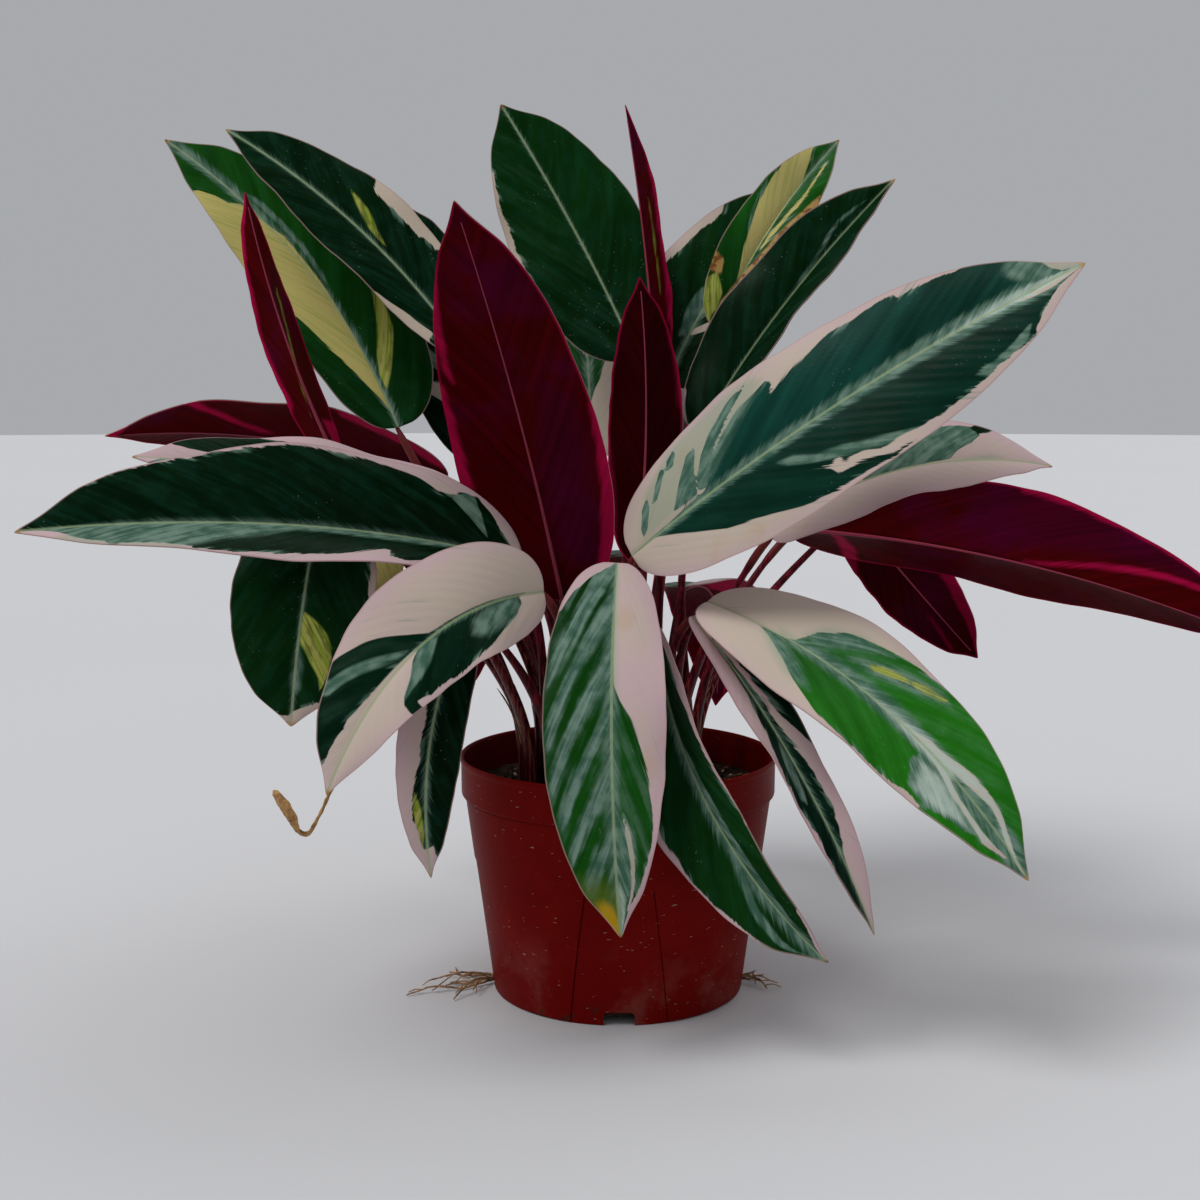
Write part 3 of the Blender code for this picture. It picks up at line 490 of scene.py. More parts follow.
        ("pale", (-.05, .02), (.06, .02), (.1, .2), (.14, .38), (.2, .6), (.28, .74), (.35, .86),
         (.45, .94), (.56, .97), (.64, .9), (.72, .88), (.8, .89), (.86, .98), (.86, 1.4), (-.05, 1.4)),
        ("mist", (.04, -.1), (.05, -.4), (.09, -.75), (.17, -.95), (.38, -.92), (.4, -.8), (.2, -.1)),
        ("flame", (.04, -.14), (.047, -.35), (.07, -.6), (.09, -.68), (.086, -.5), (.06, -.24)),
        ("flame", (.09, -.5), (.115, -.68), (.14, -.82), (.15, -.78), (.13, -.62), (.105, -.48)),
        ("flame", (.15, -.7), (.16, -.84), (.185, -.9), (.182, -.8), (.168, -.7)),
        ("flame", (.12, -.12), (.145, -.3), (.175, -.5), (.2, -.66), (.225, -.68), (.215, -.55), (.2, -.4),
         (.18, -.1)),
        ("flame", (.185, -.12), (.2, -.3), (.225, -.5), (.26, -.68), (.32, -.84), (.37, -.88), (.34, -.78),
         (.3, -.66), (.26, -.5), (.23, -.3), (.208, -.1)),
        ("sage", (.34, .2), (.38, .25), (.42, .4), (.47, .5), (.52, .65), (.58, .8), (.62, .88), (.55, .85),
         (.5, .72), (.45, .6), (.4, .48), (.36, .34)),
        ("pale", (.405, .53), (.43, .6), (.455, .6), (.46, .68), (.5, .7), (.53, .8), (.57, .82), (.6, .87),
         (.65, .87), (.6, .97), (.54, .93), (.49, .82), (.44, .78), (.43, .66)),
        ("pale", (.865, .1), (.92, .05), (1.05, 0), (1.05, .5), (.93, .32)),
        ("pale", (.86, 1.4), (.87, .9), (.9, .7), (.94, .5), (1.05, .4), (1.05, 1.4)),
        ("pale", (.93, -1.4), (.94, -.7), (.96, -.3), (1.05, -.1), (1.05, -1.4)),
        ("frost", (.7, 0), (.8, -.1), (.88, -.16), (1.05, -.3), (1.05, .3), (.88, .12), (.8, .07)),
        ("mist", (.87, -.6), (.9, -1.4), (1.05, -1.4), (1.05, 0), (.9, -.2)),
        ("sage", (.74, .74), (.8, .78), (.87, .7), (.85, .92), (.76, .92)),
    ), fresh_and_shade=-0.7, blush=.25, feather=(3.2, 3), slant=1.5, lean=0.5),
    "leaf_right_second": Pattern((
        ("pale", (-.05, -1.4), (1.05, -1.4), (1.05, 1.4), (-.05, 1.4)),
        ("green", (.1, -.15), (.3, -.42), (.5, -.72), (.56, -1.4), (0, -1.4)),
        ("flame", (.34, -.02), (.42, -.34), (.5, -.6), (.6, -.8), (.74, -.9), (.77, -.7), (.74, -.44),
         (.69, -.24), (.66, -.05), (.56, -.02)),
        ("green", (.5, -.34), (.58, -.5), (.66, -.66), (.68, -.62), (.6, -.42), (.53, -.3)),
        ("green", (.73, -.62), (.8, -.86), (.86, -1.4), (.82, -1.4), (.745, -.86)),
        ("mist", (.66, .08), (.71, -.02), (.8, -.16), (.84, -.1), (.76, .08)),
    ), fresh_and_shade=0.1, blush=.6, feather=(0, 0), slant=1.6),
    "leaf_right_wine": Pattern((
        ("pale", (.5, .02), (.56, .06), (.66, .22), (.78, .45), (.9, .72), (.96, .9), (.9, .84), (.8, .6),
         (.7, .4), (.6, .18)),
        ("sage", (.35, .35), (.45, .22), (.55, .3), (.7, .5), (.9, .85), (.95, 1.4), (.45, 1.4)),
        ("pale", (.08, -.2), (.12, -.6), (.17, -1.4), (.21, -1.4), (.15, -.6), (.11, -.25)),
        ("pale", (.42, 1.4), (.46, .93), (.6, .95), (.85, .95), (.9, 1.4)),
    ), fresh_and_shade=0.2, blush=.7, feather=(3, 3), slant=1.6),
    # Its first value below 0 also darkens its underside: painted shade from the leaves around it.
    "leaf_right_wine_low": Pattern((
        ("pale", (.08, -1.4), (.1, -.78), (.25, -.8), (.4, -1.4)),
        ("pale", (.55, 1.4), (.56, .72), (.7, .65), (.95, .6), (1.05, 1.4)),
        ("pale", (.69, -.25), (.78, -.32), (.87, -.62), (.89, -.8), (.84, -.6), (.76, -.38)),
    ), fresh_and_shade=-0.7, blush=.6, slant=1.5),
    "leaf_upper_right_cream": Pattern((
        ("pale", (.2, -.02), (.3, -.2), (.45, -.45), (.6, -.72), (.75, -.95), (.8, -1.4), (.95, -1.4),
         (.85, -.4), (.75, .04), (.5, .06), (.35, .04)),
        ("lime", (-.05, -1.4), (.02, -.7), (.08, -.35), (.15, -.35), (.22, -.72), (.12, -1.4)),
        ("lime", (.3, -.1), (.45, -.28), (.6, -.48), (.7, -.66), (.68, -.5), (.55, -.28), (.4, -.1)),
        ("pale", (.35, .12), (.5, .28), (.7, .5), (.9, .5), (.9, .4), (.7, .36), (.5, .16)),
        ("dry", (.03, -.24), (.1, -.32), (.2, -.1), (.35, .2), (.5, .4), (.7, .75), (.76, 1), (.74, 1.1),
         (.6, .75), (.4, .44), (.25, .15), (.12, -.08)),
        ("dry", (.22, -.62), (.28, -.66), (.31, -1.4), (.22, -1.4)),
    ), fresh_and_shade=0.5, blush=-.7, feather=(1, 1), slant=2),
    "leaf_upper_right_green": Pattern((
        ("pale", (-.05, -1.4), (.02, -.85), (.1, -.9), (.2, -1.4)),
        ("sage", (.5, -.04), (.65, -.1), (.8, -.36), (.88, -.32), (.9, -.26), (.8, -.28), (.65, -.04)),
    ), fresh_and_shade=0.12, blush=.5, feather=(0, 0), slant=1.8),
    "leaf_upper_right_back": Pattern((
        ("pale", (.3, -1.4), (.35, -.9), (.5, -.84), (.7, -.84), (.8, -1.4)),
        ("sage", (.2, -.15), (.35, -.24), (.45, -.15), (.35, 0), (.22, 0)),
    ), fresh_and_shade=0.2, blush=-.1, feather=(2.5, 2.5), wedges=1, slant=1.4),
    "leaf_back_right_low": Pattern((
        ("pale", (-.05, 0), (.3, .02), (.45, .4), (.6, 1), (.6, 1.4), (-.05, 1.4)),
    ), fresh_and_shade=0.4, blush=.5, bands=(0.5, 0.4), feather=(3, 3), wedges=4, slant=1.5),
    "leaf_back_centre_low": Pattern((
        ("pale", (-.05, 0), (.15, -.02), (.3, -.3), (.5, -.75), (.62, -1), (.62, -1.4), (-.05, -1.4)),
        ("pale", (.8, -.05), (.86, .3), (.93, .5), (1.05, .5), (1.05, -.3)),
    ), fresh_and_shade=0.15, blush=.6, bands=(0.2, 0.3), feather=(4, 4), wedges=4, slant=1.6),
    "leaf_back_left_low": Pattern((
        ("pale", (-.05, 0), (.5, -.03), (.62, -.4), (.75, -1), (.75, -1.4), (-.05, -1.4)),
    ), fresh_and_shade=0.25, blush=.5, bands=(0.7, 0.6), feather=(3, 3), wedges=3, slant=1.4),
    "leaf_back_left": Pattern((
        ("pale", (-.05, .1), (.1, .3), (.2, .7), (.35, .85), (.6, .9), (.8, 1), (.8, 1.4), (-.05, 1.4)),
        ("pale", (-.05, -.1), (.15, -.2), (.3, -.75), (.5, -.9), (.5, -1.4), (-.05, -1.4)),
    ), fresh_and_shade=0.05, blush=.6, feather=(5, 5), wedges=4, slant=1.6),
    "leaf_back_right": Pattern((
        ("pale", (-.05, .1), (.15, .15), (.3, .6), (.45, .9), (.6, 1), (.6, 1.4), (-.05, 1.4)),
        ("pale", (-.05, -.3), (.1, -.75), (.4, -.88), (.7, -.93), (.9, -1), (.9, -1.4), (-.05, -1.4)),
    ), fresh_and_shade=0.2, blush=.6, feather=(5, 5), wedges=4, slant=1.5),
    "leaf_back_centre": Pattern((
        ("pale", (-.05, 0), (.2, .03), (.4, .5), (.55, .95), (.55, 1.4), (-.05, 1.4)),
    ), fresh_and_shade=0.5, blush=.1, bands=(0.3, 0.3), feather=(3, 3), wedges=4, slant=1.5),
    "leaf_back_upper_right": Pattern((
        ("pale", (.1, -.02), (.35, -.04), (.6, -.5), (.8, -1), (.8, -1.4), (-.05, -1.4)),
    ), fresh_and_shade=0.35, blush=-.3, bands=(0.2, 0.2), feather=(3, 3), wedges=4, slant=1.6),
    "leaf_back_upper_left": Pattern((
        ("pale", (-.05, .2), (.2, .5), (.5, .85), (.8, .95), (.9, 1.4), (-.05, 1.4)),
    ), fresh_and_shade=0.4, blush=.2, bands=(0.3, 0.3), feather=(4, 4), wedges=5, slant=1.4),
}

# Settings

Length = partial(FloatProperty, subtype="DISTANCE", unit="LENGTH")
Colour = partial(FloatVectorProperty, subtype="COLOR")


class StromantheLeaves(bpy.types.PropertyGroup):
    """Sizes and colours of the leaves and their stalks."""

    thickness: Length(name="Thickness", description="Thickness of a blade", default=0.5 * MM, min=0.1 * MM)
    face_size: Length(
        name="Face size", description="Length of a blade's faces", default=1.35 * MM, min=0.5 * MM,
    )
    quilting: Length(name="Quilting", description="Height of the waves between side veins", default=0.22 * MM)
    quilt_spacing: Length(
        name="Quilt spacing", description="Distance along the midrib from one strong side vein to the next",
        default=7 * MM,
    )
    dark_green: Colour(name="Dark green", description="Old blades", default=(0.0005, 0.0095, 0.0022))
    bright_green: Colour(name="Bright green", description="Young blades", default=(0.015, 0.150, 0.007))
    # Blue-green is partly the own tone of bluish blades and partly painted sheen, a sky reflection on old
    # blades.
    blue_green_and_sheen: Colour(name="Blue-green", description="Bluish blades", default=(0.005, 0.048, 0.034))
    deep_sage: Colour(name="Deep sage", description="Mottles in the sage", default=(0.048, 0.115, 0.080))
    sage: Colour(name="Sage", description="Half pale streaks", default=(0.165, 0.255, 0.200))
    mist: Colour(name="Mist", description="Sage bloom over a pale part", default=(0.27, 0.33, 0.23))
    frost: Colour(name="Frost", description="White bloom along a midrib", default=(0.44, 0.53, 0.46))
    cream: Colour(name="Cream", description="Pale parts with no pink", default=(0.505, 0.425, 0.345))
    pink: Colour(name="Pink", description="Pinkest pale parts", default=(0.52, 0.37, 0.395))
    butter: Colour(name="Butter", description="Pale parts of yellow blades", default=(0.50, 0.44, 0.14))
    lime: Colour(name="Lime", description="Yellow-green flames", default=(0.22, 0.30, 0.025))
    thread: Colour(name="Thread", description="Fine veins in the pale parts", default=(0.40, 0.20, 0.20))
    stain: Colour(name="Stain", description="Stains on the pale parts", default=(0.46, 0.30, 0.15))
    midrib: Colour(name="Midrib", description="Line of the midrib", default=(0.30, 0.38, 0.20))
    margin: Colour(name="Margin", description="Thin line round a blade", default=(0.42, 0.26, 0.24))
    fading: Colour(name="Fading", description="Green round the gold", default=(0.075, 0.125, 0.012))
    gold: Colour(name="Gold", description="Fading patch at a tip", default=(0.46, 0.27, 0.01))
    dry: Colour(name="Dry", description="Dry tips and scorched parts", default=(0.40, 0.25, 0.08))
    crisp: Colour(name="Crisp", description="Darkest of the dry parts", default=(0.19, 0.07, 0.02))
    scale: Colour(name="Limescale", description="Dried drops on a blade", default=(0.38, 0.40, 0.38))
    wine: Colour(name="Wine", description="Underside", default=(0.066, 0.0005, 0.0014))
    purple: Colour(name="Purple", description="Bluer undersides", default=(0.055, 0.0008, 0.018))
    magenta: Colour(name="Magenta", description="Underside of pale parts", default=(0.40, 0.004, 0.052))
    dry_under: Colour(name="Dry underside", description="Underside of dry parts", default=(0.24, 0.11, 0.03))
    stalk: Colour(name="Stalk", description="Stalks", default=(0.036, 0.0006, 0.003))
    stalk_fibre: Colour(name="Stalk fibre", description="Paler stalk fibres", default=(0.20, 0.004, 0.018))
    husk: Colour(name="Husk", description="Straw at the foot of a stalk", default=(0.20, 0.085, 0.035))
    joint: Colour(name="Joint", description="Joint below a blade", default=(0.14, 0.020, 0.018))
    ridge: Colour(name="Ridge", description="Ridge under a blade", default=(0.28, 0.035, 0.070))
    withered: Colour(name="Withered", description="Withered leaf end", default=(0.40, 0.22, 0.075))
    blotch: Colour(name="Withered blotch", description="Its darker blotches", default=(0.20, 0.09, 0.03))
    crease: Colour(name="Withered crease", description="Its paler creases", default=(0.55, 0.36, 0.17))


class StromanthePot(bpy.types.PropertyGroup):
    """Sizes and colours of the pot."""

    sides: IntProperty(name="Sides", description="Faces round the pot", default=160, min=24)
    rounding: Length(name="Rounding", description="Radius of the moulded edges", default=0.35 * MM)
    seam_depth: Length(name="Seam depth", description="Depth of the groove along a panel", default=1.0 * MM)
    plastic: Colour(name="Plastic", description="Red-brown plastic", default=(0.135, 0.0018, 0.0010))
    worn_and_highlight: Colour(name="Worn plastic", description="Rubbed plastic", default=(0.21, 0.005, 0.0024))
    # Worn plastic also serves as the painted highlight along the top of the rim.
    dust: Colour(name="Dust", description="Lime and dust on the side", default=(0.50, 0.38, 0.31))
    earth: Colour(name="Earth", description="Soil near the foot", default=(0.03, 0.017, 0.01))


class StromantheSoil(bpy.types.PropertyGroup):
    """Sizes, numbers and colours of the soil and of the roots."""

    sides: IntProperty(name="Sides", description="Faces round the soil", default=120, min=24)
    chips: IntProperty(name="Chips", description="Number of peat and bark chips", default=620, min=0)
    perlite: IntProperty(name="Perlite", description="Number of white grains", default=46, min=0)
    straws: IntProperty(name="Straws", description="Number of dry fibres", default=90, min=0)
    peat: Colour(name="Peat", description="Dark soil", default=(0.022, 0.012, 0.007))
    bark: Colour(name="Bark", description="Lighter chips", default=(0.085, 0.042, 0.020))
    grain: Colour(name="Grain", description="White grains", default=(0.74, 0.71, 0.65))
    grain_stain: Colour(name="Grain stain", description="Soil on the grains", default=(0.25, 0.18, 0.13))
    straw: Colour(name="Straw", description="Dry fibres and roots", default=(0.44, 0.25, 0.12))
    straw_mottle: Colour(name="Straw mottle", description="Darker mottles", default=(0.11, 0.055, 0.028))


class StromantheStage(bpy.types.PropertyGroup):
    """Floor, lights and camera."""

    floor_radius: Length(name="Floor radius", description="Radius of the round floor", default=12)
    floor: Colour(name="Floor", description="Colour of the floor", default=(0.58, 0.58, 0.59))
    surroundings: Colour(
        name="Surroundings", description="Colour of the light from all round", default=(0.39, 0.40, 0.42),
    )
    key_strength: FloatProperty(
        name="Key light", description="Strength of the soft light from the upper left", default=1.9, min=0,
    )
    fill_strength: FloatProperty(
        name="Fill light", description="Strength of the soft light from behind", default=0.6, min=0,
    )
    lens: FloatProperty(
        name="Lens", description="Focal length in millimetres", default=50, subtype="DISTANCE_CAMERA",
    )


# Blade shape


def direction(azimuth, elevation):
    """Unit vector that points to this azimuth, counted from +X, and this elevation, in degrees."""
    a, e = math.radians(azimuth), math.radians(elevation)
    return Vector((math.cos(a) * math.cos(e), math.sin(a) * math.cos(e), math.sin(e)))


@lru_cache(maxsize=None)
def midrib(leaf, along):
    """Point and direction of the midrib, on the one parabola through neck, belly and tip."""
    neck, belly, tip = (Vector(p) * MM for p in (leaf.neck, leaf.belly, leaf.tip))
    m = (belly - neck).length / ((belly - neck).length + (tip - belly).length)
    slope = (belly - neck) / m
    bend = (tip - belly) / (1 - m) - slope
    point = neck + slope * along + bend * along * (along - m)
    tangent = slope + bend * (2 * along - m)
    return point, tangent.normalized()


def outline(along, widest):
    """Half width of a blade as a share of its widest: a round base and a drawn-out tip."""
    if along < widest:
        return (1 - (1 - along / widest) ** OUTLINE_ROUNDNESS) ** BASE_BLUNTNESS
    width = max(0.0, 1 - ((along - widest) / (1 - widest)) ** OUTLINE_ROUNDNESS) ** TIP_BLUNTNESS
    drawn = max(0.0, (along - TIP_FROM) / (1 - TIP_FROM))
    return width * (1 - TIP_PINCH * drawn * drawn * (3 - 2 * drawn))


@lru_cache(maxsize=None)
def cross_section(leaf, along):
    """Point, right, upward direction and half width of a blade at one place along it."""
    point, tangent = midrib(leaf, along)
    looks = direction(*leaf.face).lerp(direction(*leaf.tip_face), along)
    normal = (looks - tangent * looks.dot(tangent)).normalized()
    return point, tangent.cross(normal), normal, leaf.width / 2 * MM * outline(along, leaf.widest)


def blade_length(leaf):
    """Length of the midrib in millimetres."""
    neck, belly, tip = (Vector(p) for p in (leaf.neck, leaf.belly, leaf.tip))
    return (belly - neck).length + (tip - belly).length


def side_vein(leaf, along, out):
    """Place on the midrib where the side vein of a point starts; out is the point's distance. Millimetres."""
    return along * blade_length(leaf) - PATTERNS[leaf.name].slant * out - VEIN_BEND * out * out


def blade_point(leaf, along, across, looks):
    """Point of the middle surface, with waves at the edge and quilting between the side veins."""
    point, right, normal, half = cross_section(leaf, along)
    side, out = math.copysign(1, across), abs(across)
    half *= 1 + side * leaf.lop
    start, turn = math.radians(leaf.fold), math.radians(leaf.curl) or 1e-6
    sideways = (math.sin(start + turn * out) - math.sin(start)) / turn
    upwards = (math.cos(start) - math.cos(start + turn * out)) / turn
    phase = 2 * math.pi * leaf.ripples * along + (0 if side > 0 else LEFT_WAVE_PHASE)
    ripple = leaf.wave * MM * out**2 * math.sin(phase) * math.sin(math.pi * along)
    vein = side_vein(leaf, along, out * half / MM) * MM
    quilt = looks.quilting * math.sin(2 * math.pi * vein / looks.quilt_spacing)
    quilt *= 4 * out * (1 - out) * math.sin(math.pi * along)
    fray = EDGE_FRAY * out**3 * noise.noise(Vector((along * 14, side * 5, leaf.width)))
    groove = GROOVE_DEPTH * math.exp(-((out * half / GROOVE_WIDTH) ** 2)) * (1 - along)
    rise = half * upwards + ripple + quilt - groove
    return point + right * side * (half * sideways + fray) + normal * rise


# Blade colours


def inside_by(corners, along, side, length, half):
    """How far points of a blade lie inside a patch, in millimetres. Outside it is negative."""
    x, y = along * length, side * half
    corners = np.array(corners) * (length, half)
    nearest = np.full(len(along), np.inf)
    inside = np.zeros(len(along), bool)
    for (x0, y0), (x1, y1) in zip(corners, np.roll(corners, -1, axis=0)):
        across, up = x1 - x0, y1 - y0
        share = np.clip(((x - x0) * across + (y - y0) * up) / (across**2 + up**2), 0, 1)
        nearest = np.minimum(nearest, np.hypot(x - x0 - share * across, y - y0 - share * up))
        if up:
            inside ^= ((y0 > y) != (y1 > y)) & (x < x0 + (y - y0) * across / up)
    return np.where(inside, nearest, -nearest)


def chance_wedges(leaf, count):
    """Streaks that run out from the midrib along the side veins, for sides that the plant hides."""
    chance = random.Random(leaf.name)
    wedges = []
    for number in range(count):
        side = chance.choice((-1, 1))
        start = chance.uniform(0.05, 0.75)
        wide = chance.uniform(0.02, 0.08)
        reach = chance.uniform(0.5, 1.3)
        lean = 0.2 * reach
        kind = "sage" if number % 2 else "pale"
        wedges.append((kind, (start, 0.02 * side), (start + lean / 2, reach / 2 * side),
                       (start + lean, reach * side), (start + lean + wide, reach * side),
                       (start + lean / 2 + wide, reach * 0.45 * side), (start + wide / 2, 0.02 * side)))
    return wedges


def patch_fields(leaf, along, side):
    """How far each point of a blade lies inside each kind of patch, in millimetres."""
    pattern = PATTERNS[leaf.name]
    length, half = blade_length(leaf), leaf.width / 2
    fields = {kind: np.full(len(along), FAR_OUTSIDE) for kind in PATCH_KINDS}
    for kind, *corners in (*pattern.patches, *chance_wedges(leaf, pattern.wedges)):
        depth = inside_by(corners, along, side, length, half)
        if kind == "flame":
            depth = depth * FLAME_SHARPNESS
        if kind in ("green", "flame"):
            fields["pale"] = np.minimum(fields["pale"], -depth)
        if kind in ("sage", "flame"):
            fields["sage"] = np.maximum(fields["sage"], depth)
        elif kind in fields:
            fields[kind] = np.maximum(fields[kind], depth)
    return fields


def paint_blade(leaf, mesh):
    """Writes the distances on a blade that the materials read, in millimetres, and the leaf's own greens, whose
    first value also darkens the underside as painted shade.
    """
    pattern = PATTERNS[leaf.name]
    count = len(mesh.vertices)
    along, side = np.zeros(count, np.float32), np.zeros(count, np.float32)
    mesh.attributes["along"].data.foreach_get("value", along)
    mesh.attributes["side"].data.foreach_get("value", side)
    length, half = blade_length(leaf), leaf.width / 2
    widths = np.array([half * outline(u, leaf.widest) for u in along])
    across = side * widths
    out = np.abs(across)
    fields = patch_fields(leaf, along, side)
    fields["across"] = across
    fields["vein"] = side_vein(leaf, along, out)
    fields["rim"] = np.minimum((1 - np.abs(side)) * widths, (1 - along) * length)
    fields["feather"] = np.where(side < 0, *pattern.feather) * (0.6 + 0.9 * along) - out
    fields["tip"] = (1 - along) * length
    fields["seed"] = np.full(count, SEED_STEP * LEAVES.index(leaf))
    for name, values in fields.items():
        mesh.attributes.new(name, "FLOAT", "POINT").data.foreach_set("value", values.astype(np.float32))
    mood = np.tile((pattern.fresh_and_shade, pattern.blush, 0), (count, 1)).astype(np.float32)
    mood[:, 0] += pattern.lean * np.clip(side * 3, -0.5, 0.5)
    mood[:, 2] = np.where(side < 0, *pattern.bands)
    mesh.attributes.new("mood", "FLOAT_VECTOR", "POINT").data.foreach_set("vector", mood.ravel())


# Materials


class Wire:
    """The result of a node. Sums, differences and products of wires make Math nodes."""

    def __init__(self, paint, socket):
        self.paint = paint
        self.socket = socket

    def __add__(self, other):
        return self.paint.math("ADD", self, other)

    def __sub__(self, other):
        return self.paint.math("SUBTRACT", self, other)

    def __rsub__(self, other):
        return self.paint.math("SUBTRACT", other, self)

    def __mul__(self, other):
        return self.paint.math("MULTIPLY", self, other)


class Paint:
    """A Principled material that is built up node by node."""

    def __init__(self, name, **sockets):
        self.material = bpy.data.materials.new(name)
        self.material.use_nodes = True
        self.tree = self.material.node_tree
        self.shader = self.tree.nodes["Principled BSDF"]
        for socket, value in sockets.items():
            self.shader.inputs[socket.replace("_", " ")].default_value = value

    def node(self, kind, inputs, out=0, **settings):
        """One node with its inputs fed from wires or values, and the wire of its result."""
        made = self.tree.nodes.new(kind)
        for setting, value in settings.items():
            setattr(made, setting, value)
        for socket, value in inputs.items():
            self.feed(made.inputs[socket], value)
        return Wire(self, made.outputs[out])

    def feed(self, socket, value):
        """Links a wire to a socket, or sets the socket to a number or a colour."""
        if isinstance(value, Wire):
            self.tree.links.new(value.socket, socket)
        elif socket.type == "RGBA":
            socket.default_value = (*value, 1)
        else:
            socket.default_value = value

    def read(self, attribute):
        """A number that is stored on the mesh."""
        return self.node("ShaderNodeAttribute", {}, "Fac", attribute_name=attribute)

    def read_three(self, attribute):
        """Three numbers that are stored on the mesh as a vector."""
        stored = self.node("ShaderNodeAttribute", {}, "Vector", attribute_name=attribute)
        parts = self.node("ShaderNodeSeparateXYZ", {0: stored})
        return [Wire(self, socket) for socket in parts.socket.node.outputs]

    def place(self):
        """Where a point is on the object, in metres."""
        return self.node("ShaderNodeTexCoord", {}, "Object")

    def stretched(self, x, y, z):
        """The place on the object, with each axis scaled."""
        return self.node("ShaderNodeMapping", {"Vector": self.place(), "Scale": (x, y, z)})

    def math(self, operation, first, second=0.0):
        """The result of a sum, product or function of numbers."""
        return self.node("ShaderNodeMath", {0: first, 1: second}, operation=operation)

    def largest(self, *values):
        """The greatest of several numbers."""
        most = values[0]
        for value in values[1:]:
            most = self.math("MAXIMUM", most, value)
        return most

    def vector(self, x, y, z):
        """Three numbers as one place."""
        return self.node("ShaderNodeCombineXYZ", {0: x, 1: y, 2: z})

    def noise(self, where, scale=1.0, detail=2.0, roughness=0.5):
        """Noise from 0 to 1; scale is its waves for each unit of where it is read."""
        inputs = {"Vector": where, "Scale": scale, "Detail": detail, "Roughness": roughness}
        return self.node("ShaderNodeTexNoise", inputs)

    def clouds(self, scale, detail=2.0, roughness=0.5):
        """Noise over the object, with this many waves to the metre."""
        return self.noise(self.place(), scale, detail, roughness)

    def cells(self, scale):
        """Distance to the nearest of points that are scattered over the object, this many to the metre."""
        return self.node("ShaderNodeTexVoronoi", {"Vector": self.place(), "Scale": scale})

    def step(self, value, low, high):
        """A smooth step from 0 at low to 1 at high."""
        return self.node("ShaderNodeMapRange", {0: value, 1: low, 2: high}, interpolation_type="SMOOTHSTEP")

    def mix(self, share, first, second):
        """One colour over another."""
        return self.node("ShaderNodeMix", {0: share, 6: first, 7: second}, out=2, data_type="RGBA")

    def shade(self, colour, strength):
        """A colour made darker or lighter."""
        return self.node("ShaderNodeVectorMath", {0: colour, "Scale": strength}, operation="SCALE")

    def bump(self, height, distance, strength=1.0):
        """Fine relief on the surface."""
        inputs = {"Height": height, "Distance": distance, "Strength": strength}
        self.finish("Normal", self.node("ShaderNodeBump", inputs))

    def finish(self, socket, value):
        """Feeds one of the shader's own sockets."""
        self.feed(self.shader.inputs[socket], value)


class BladePaint(Paint):
    """A material for one side of the blades, with what both sides read from the mesh."""

    def __init__(self, name, **sockets):
        super().__init__(name, **sockets)
        self.vein = self.read("vein")
        self.spread = self.math("ABSOLUTE", self.read("across"))
        self.seed = self.read("seed")
        jags = (self.streaks(0.14, 0.03, 0) - 0.5) * 3.4
        teeth = (self.streaks(0.8, 0.03, 10) - 0.5) * self.step(self.streaks(0.09, 0.02, 90), 0.48, 0.62)
        self.fray = (jags + teeth * 2.8) * self.step(self.spread, 0.2, 4.0)
        drift = self.clouds(50.0) * 1.6
        self.threads = self.math("SINE", (self.vein + drift) * (2 * math.pi / 1.7))

    def streaks(self, per_vein, per_spread, shift, detail=2.0):
        """Noise that is drawn out along the side veins."""
        where = self.vector(self.vein * per_vein, self.spread * per_spread, self.seed + shift)
        return self.noise(where, detail=detail)

    def patch(self, kind, softness=0.35, frayed=1.0):
        """1 inside the patches of a kind and 0 outside, with an edge that frays along the veins."""
        return self.step(self.read(kind) + self.fray * frayed, -softness, softness)


def blade_green(paint, looks, fresh_and_shade, cloud, swell):
    """Deep green on old blades, bright on young ones and bluish on a few, cloudy and ribbed by the veins, with
    painted sheen: bluish patches that stand in for sky reflected on old blades.
    """
    tone = paint.step(paint.streaks(0.10, 0.02, 20), 0.3, 0.7)
    young = paint.step(fresh_and_shade, 0.0, 1.0) * (paint.step(paint.read("along"), 0.05, 0.7) * 0.6 + 0.4)
    green = paint.mix(young, looks.dark_green, looks.bright_green)
    patchy = paint.step(paint.clouds(20.0, 2.0), 0.36, 0.6) * 0.45 + 0.55
    # Painted sheen: bluish patches on old blades that stand in for reflected sky.
    painted_sheen = paint.step(cloud + tone * 0.1, 0.5, 0.66) * (1.0 - young) * 0.16
    bluish = paint.largest((0.0 - fresh_and_shade) * patchy, painted_sheen)
    green = paint.mix(bluish, green, looks.blue_green_and_sheen)
    return paint.shade(green, tone * 0.25 + cloud * 0.6 + swell * 0.12 + 0.57)


def sage_cover(paint, bands, cloud, swell, quills, mist):
    """Share of sage over the green: patches, bands, mist, the frayed midrib and the fringe of the pale."""
    banded = paint.step(swell + (cloud - 0.5) * 2.6, -1.0, 0.9) * bands * bands
    banded = banded * paint.step(paint.read("rim") + cloud * 4.0, 1.5, 5.0)
    fringe = paint.step(paint.read("pale") + paint.fray, -2.4, -0.6)
    fringe = fringe * paint.step(paint.streaks(0.12, 0.02, 70), 0.52, 0.58) * 0.7
    feathered = paint.step(paint.read("feather") + quills * 0.8, -1.4, 1.6) * 0.9
    return paint.largest(paint.patch("sage", 0.8) * 0.88, banded, mist, fringe, feathered)


